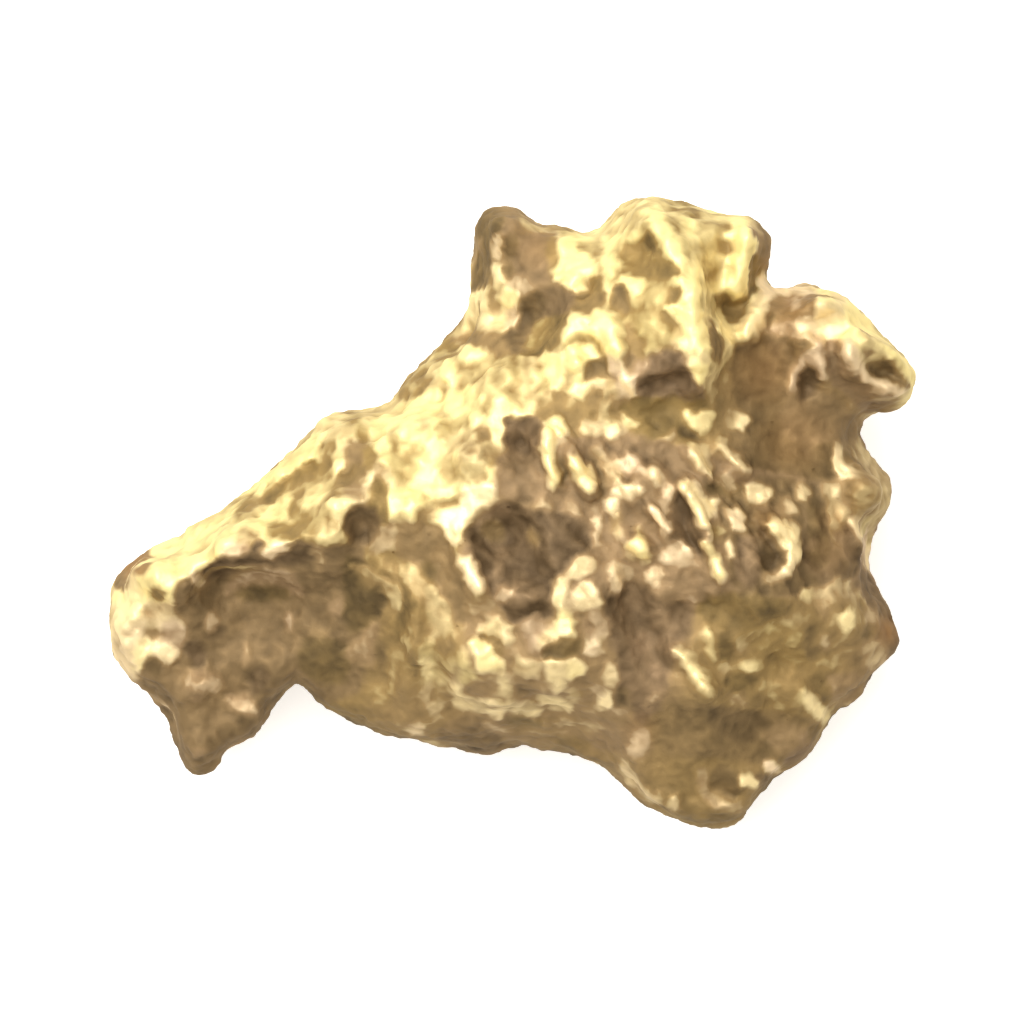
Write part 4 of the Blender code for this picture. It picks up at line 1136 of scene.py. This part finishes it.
def node(tree, kind, **values):
    """A shader node with its settings and its inputs' values, with _ for a space in an input's name."""
    made = tree.nodes.new(kind)
    for name, value in values.items():
        socket = name.replace("_", " ").title()
        if socket in made.inputs:
            made.inputs[socket].default_value = value
        else:
            setattr(made, name, value)
    return made


def ranged(tree, amount, **limits):
    """The amount carried from one range to another."""
    made = node(tree, "ShaderNodeMapRange", **limits)
    tree.links.new(amount, made.inputs["Value"])
    return made.outputs[0]


def mix_colours(tree, share, first, second):
    """The first colour where the share is 0 and the second where it is 1."""
    mix = node(tree, "ShaderNodeMix", data_type="RGBA")
    tree.links.new(share, mix.inputs[0])
    for socket, colour in ((mix.inputs[6], first), (mix.inputs[7], second)):
        if isinstance(colour, bpy.types.NodeSocket):
            tree.links.new(colour, socket)
        else:
            socket.default_value = (*colour, 1)
    return mix.outputs[2]


def gold_material(settings):
    """Native gold: bare where its film is gone, under an olive or brown film elsewhere, with rust stains; its
    base colour also carries painted highlights and painted shade.
    """
    material = bpy.data.materials.new("native_gold")
    material.use_nodes = True
    tree = material.node_tree
    shader = tree.nodes["Principled BSDF"]
    clean_and_lit, brown, stain = (
        node(tree, "ShaderNodeAttribute", attribute_name=name).outputs["Fac"]
        for name in ("clean_and_lit", "brown", "stain")
    )
    film = mix_colours(tree, brown, settings.olive_film, settings.brown_film)
    half = mix_colours(tree, brown, settings.olive_gold, settings.brown_gold)
    gold = mix_colours(tree, brown, settings.gold, settings.pale_gold)
    # The tone picks the film, half and gold colours, so the painted light and shade in it go into the base
    # colour.
    film_to_half = ranged(tree, clean_and_lit, from_min=0, from_max=HALF_TONE)
    half_to_gold = ranged(tree, clean_and_lit, from_min=HALF_TONE, from_max=1)
    colour = mix_colours(tree, half_to_gold, mix_colours(tree, film_to_half, film, half), gold)
    colour = mix_colours(tree, stain, colour, settings.stain)
    tree.links.new(colour, shader.inputs["Base Color"])
    for name, filmed, bright in (("Roughness", 0.7, 0.56), ("Metallic", 0.35, 0.6)):
        tree.links.new(ranged(tree, clean_and_lit, to_min=filmed, to_max=bright), shader.inputs[name])
    shader.inputs["Specular IOR Level"].default_value = 0.3
    speckle = node(tree, "ShaderNodeTexNoise", scale=6000, detail=3, roughness=0.6)
    coordinates = node(tree, "ShaderNodeTexCoord").outputs["Object"]
    tree.links.new(coordinates, speckle.inputs["Vector"])
    bump = node(tree, "ShaderNodeBump", strength=0.5, distance=0.02 * MM)
    tree.links.new(speckle.outputs["Fac"], bump.inputs["Height"])
    tree.links.new(bump.outputs["Normal"], shader.inputs["Normal"])
    return material


class NUGGET_OT_surface(bpy.types.Operator):
    """Make the nugget's worn, pebbled gold surface over its solid"""

    bl_idname = "nugget.surface"
    bl_label = "Nugget surface"

    def execute(self, context):
        settings = context.scene.nugget_surface
        mesh = worked_surface(settings)
        mesh.materials.clear()
        mesh.materials.append(gold_material(settings))
        nugget = bpy.data.objects.new("nugget_surface", mesh)
        context.scene.collection.objects.link(nugget)
        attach(nugget, "root")
        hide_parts(NODE)
        return {"FINISHED"}


def add_floor(context, colour):
    """A square of plain floor that glows a little, so that it stays pale round the nugget."""
    form = bmesh.new()
    bmesh.ops.create_grid(form, x_segments=1, y_segments=1, size=1.0)
    mesh = bpy.data.meshes.new("floor")
    form.to_mesh(mesh)
    form.free()
    material = bpy.data.materials.new("floor_paint")
    material.use_nodes = True
    shader = material.node_tree.nodes["Principled BSDF"]
    shader.inputs["Base Color"].default_value = (*colour, 1)
    shader.inputs["Roughness"].default_value = 0.9
    shader.inputs["Emission Color"].default_value = (1, 1, 1, 1)
    shader.inputs["Emission Strength"].default_value = FLOOR_GLOW
    mesh.materials.append(material)
    floor = bpy.data.objects.new("floor", mesh)
    floor.visible_glossy = False
    context.scene.collection.objects.link(floor)


def towards(turn, rise):
    """The direction at this angle anticlockwise from the right, and this angle above the horizon."""
    flat = math.cos(rise)
    return Vector((flat * math.cos(turn), flat * math.sin(turn), math.sin(rise)))


def add_room(context, settings):
    """A dim room, with a broad soft glow that comes in low from a window."""
    world = bpy.data.worlds.new("room")
    world.use_nodes = True
    tree = world.node_tree
    direction = node(tree, "ShaderNodeTexCoord").outputs["Generated"]
    turned = node(tree, "ShaderNodeVectorMath", operation="DOT_PRODUCT")
    turned.inputs[1].default_value = towards(settings.window_turn, GLOW_RISE)
    tree.links.new(direction, turned.inputs[0])
    glow = ranged(tree, turned.outputs["Value"], interpolation_type="SMOOTHSTEP")
    light = mix_colours(tree, glow, settings.room, settings.window)
    tree.links.new(light, tree.nodes["Background"].inputs["Color"])
    context.scene.world = world


def add_softbox(context, settings):
    """A square softbox that faces the nugget."""
    light = bpy.data.lights.new("softbox", "AREA")
    light.shape = "SQUARE"
    light.size = SOFTBOX_SIDE
    light.energy = settings.softbox_power
    softbox = bpy.data.objects.new("softbox", light)
    direction = towards(settings.softbox_turn, settings.softbox_rise)
    softbox.location = direction * SOFTBOX_DISTANCE
    softbox.rotation_euler = direction.to_track_quat("Z", "Y").to_euler()
    context.scene.collection.objects.link(softbox)


def add_camera(context, lens):
    """A camera straight above the nugget, with the plan's square filling its view."""
    camera = bpy.data.cameras.new("camera")
    camera.lens = lens
    camera.clip_start = 0.01
    view = bpy.data.objects.new("camera", camera)
    distance = PLAN_SIDE * SQUARE * lens / camera.sensor_width
    view.location = (*place(*PLAN_MIDDLE), RIM_HEIGHT + distance)
    context.scene.collection.objects.link(view)
    context.scene.camera = view


class NUGGET_OT_stage(bpy.types.Operator):
    """Set up the floor, the room's light, the softbox and the camera"""

    bl_idname = "nugget.stage"
    bl_label = "Stage"

    def execute(self, context):
        settings = context.scene.nugget_stage
        add_floor(context, settings.floor)
        add_room(context, settings)
        add_softbox(context, settings)
        add_camera(context, settings.lens)
        context.scene.view_settings.view_transform = "Standard"
        return {"FINISHED"}


OPERATORS = (NUGGET_OT_surface, NUGGET_OT_stage)


class NUGGET_PT_panel(bpy.types.Panel):
    """The nugget's sizes, colours and lights, and a button for each piece"""

    bl_label = "Gold nugget"
    bl_idname = "NUGGET_PT_panel"
    bl_space_type = "VIEW_3D"
    bl_region_type = "UI"
    bl_category = "Nugget"

    def draw(self, context):
        for group in (context.scene.nugget_surface, context.scene.nugget_stage):
            for name in group.bl_rna.properties.keys():
                if name not in ("rna_type", "name"):
                    self.layout.prop(group, name)
        for operator in OPERATORS:
            self.layout.operator(operator.bl_idname)


CLASSES = (NuggetSurface, NuggetStage, *OPERATORS, NUGGET_PT_panel)


def register():
    for made in CLASSES:
        bpy.utils.register_class(made)
    bpy.types.Scene.nugget_surface = PointerProperty(type=NuggetSurface)
    bpy.types.Scene.nugget_stage = PointerProperty(type=NuggetStage)


def unregister():
    del bpy.types.Scene.nugget_surface
    del bpy.types.Scene.nugget_stage
    for made in reversed(CLASSES):
        bpy.utils.unregister_class(made)


def main():
    register()
    bpy.ops.nugget.surface()
    bpy.ops.nugget.stage()


if __name__ == "__main__":
    main()
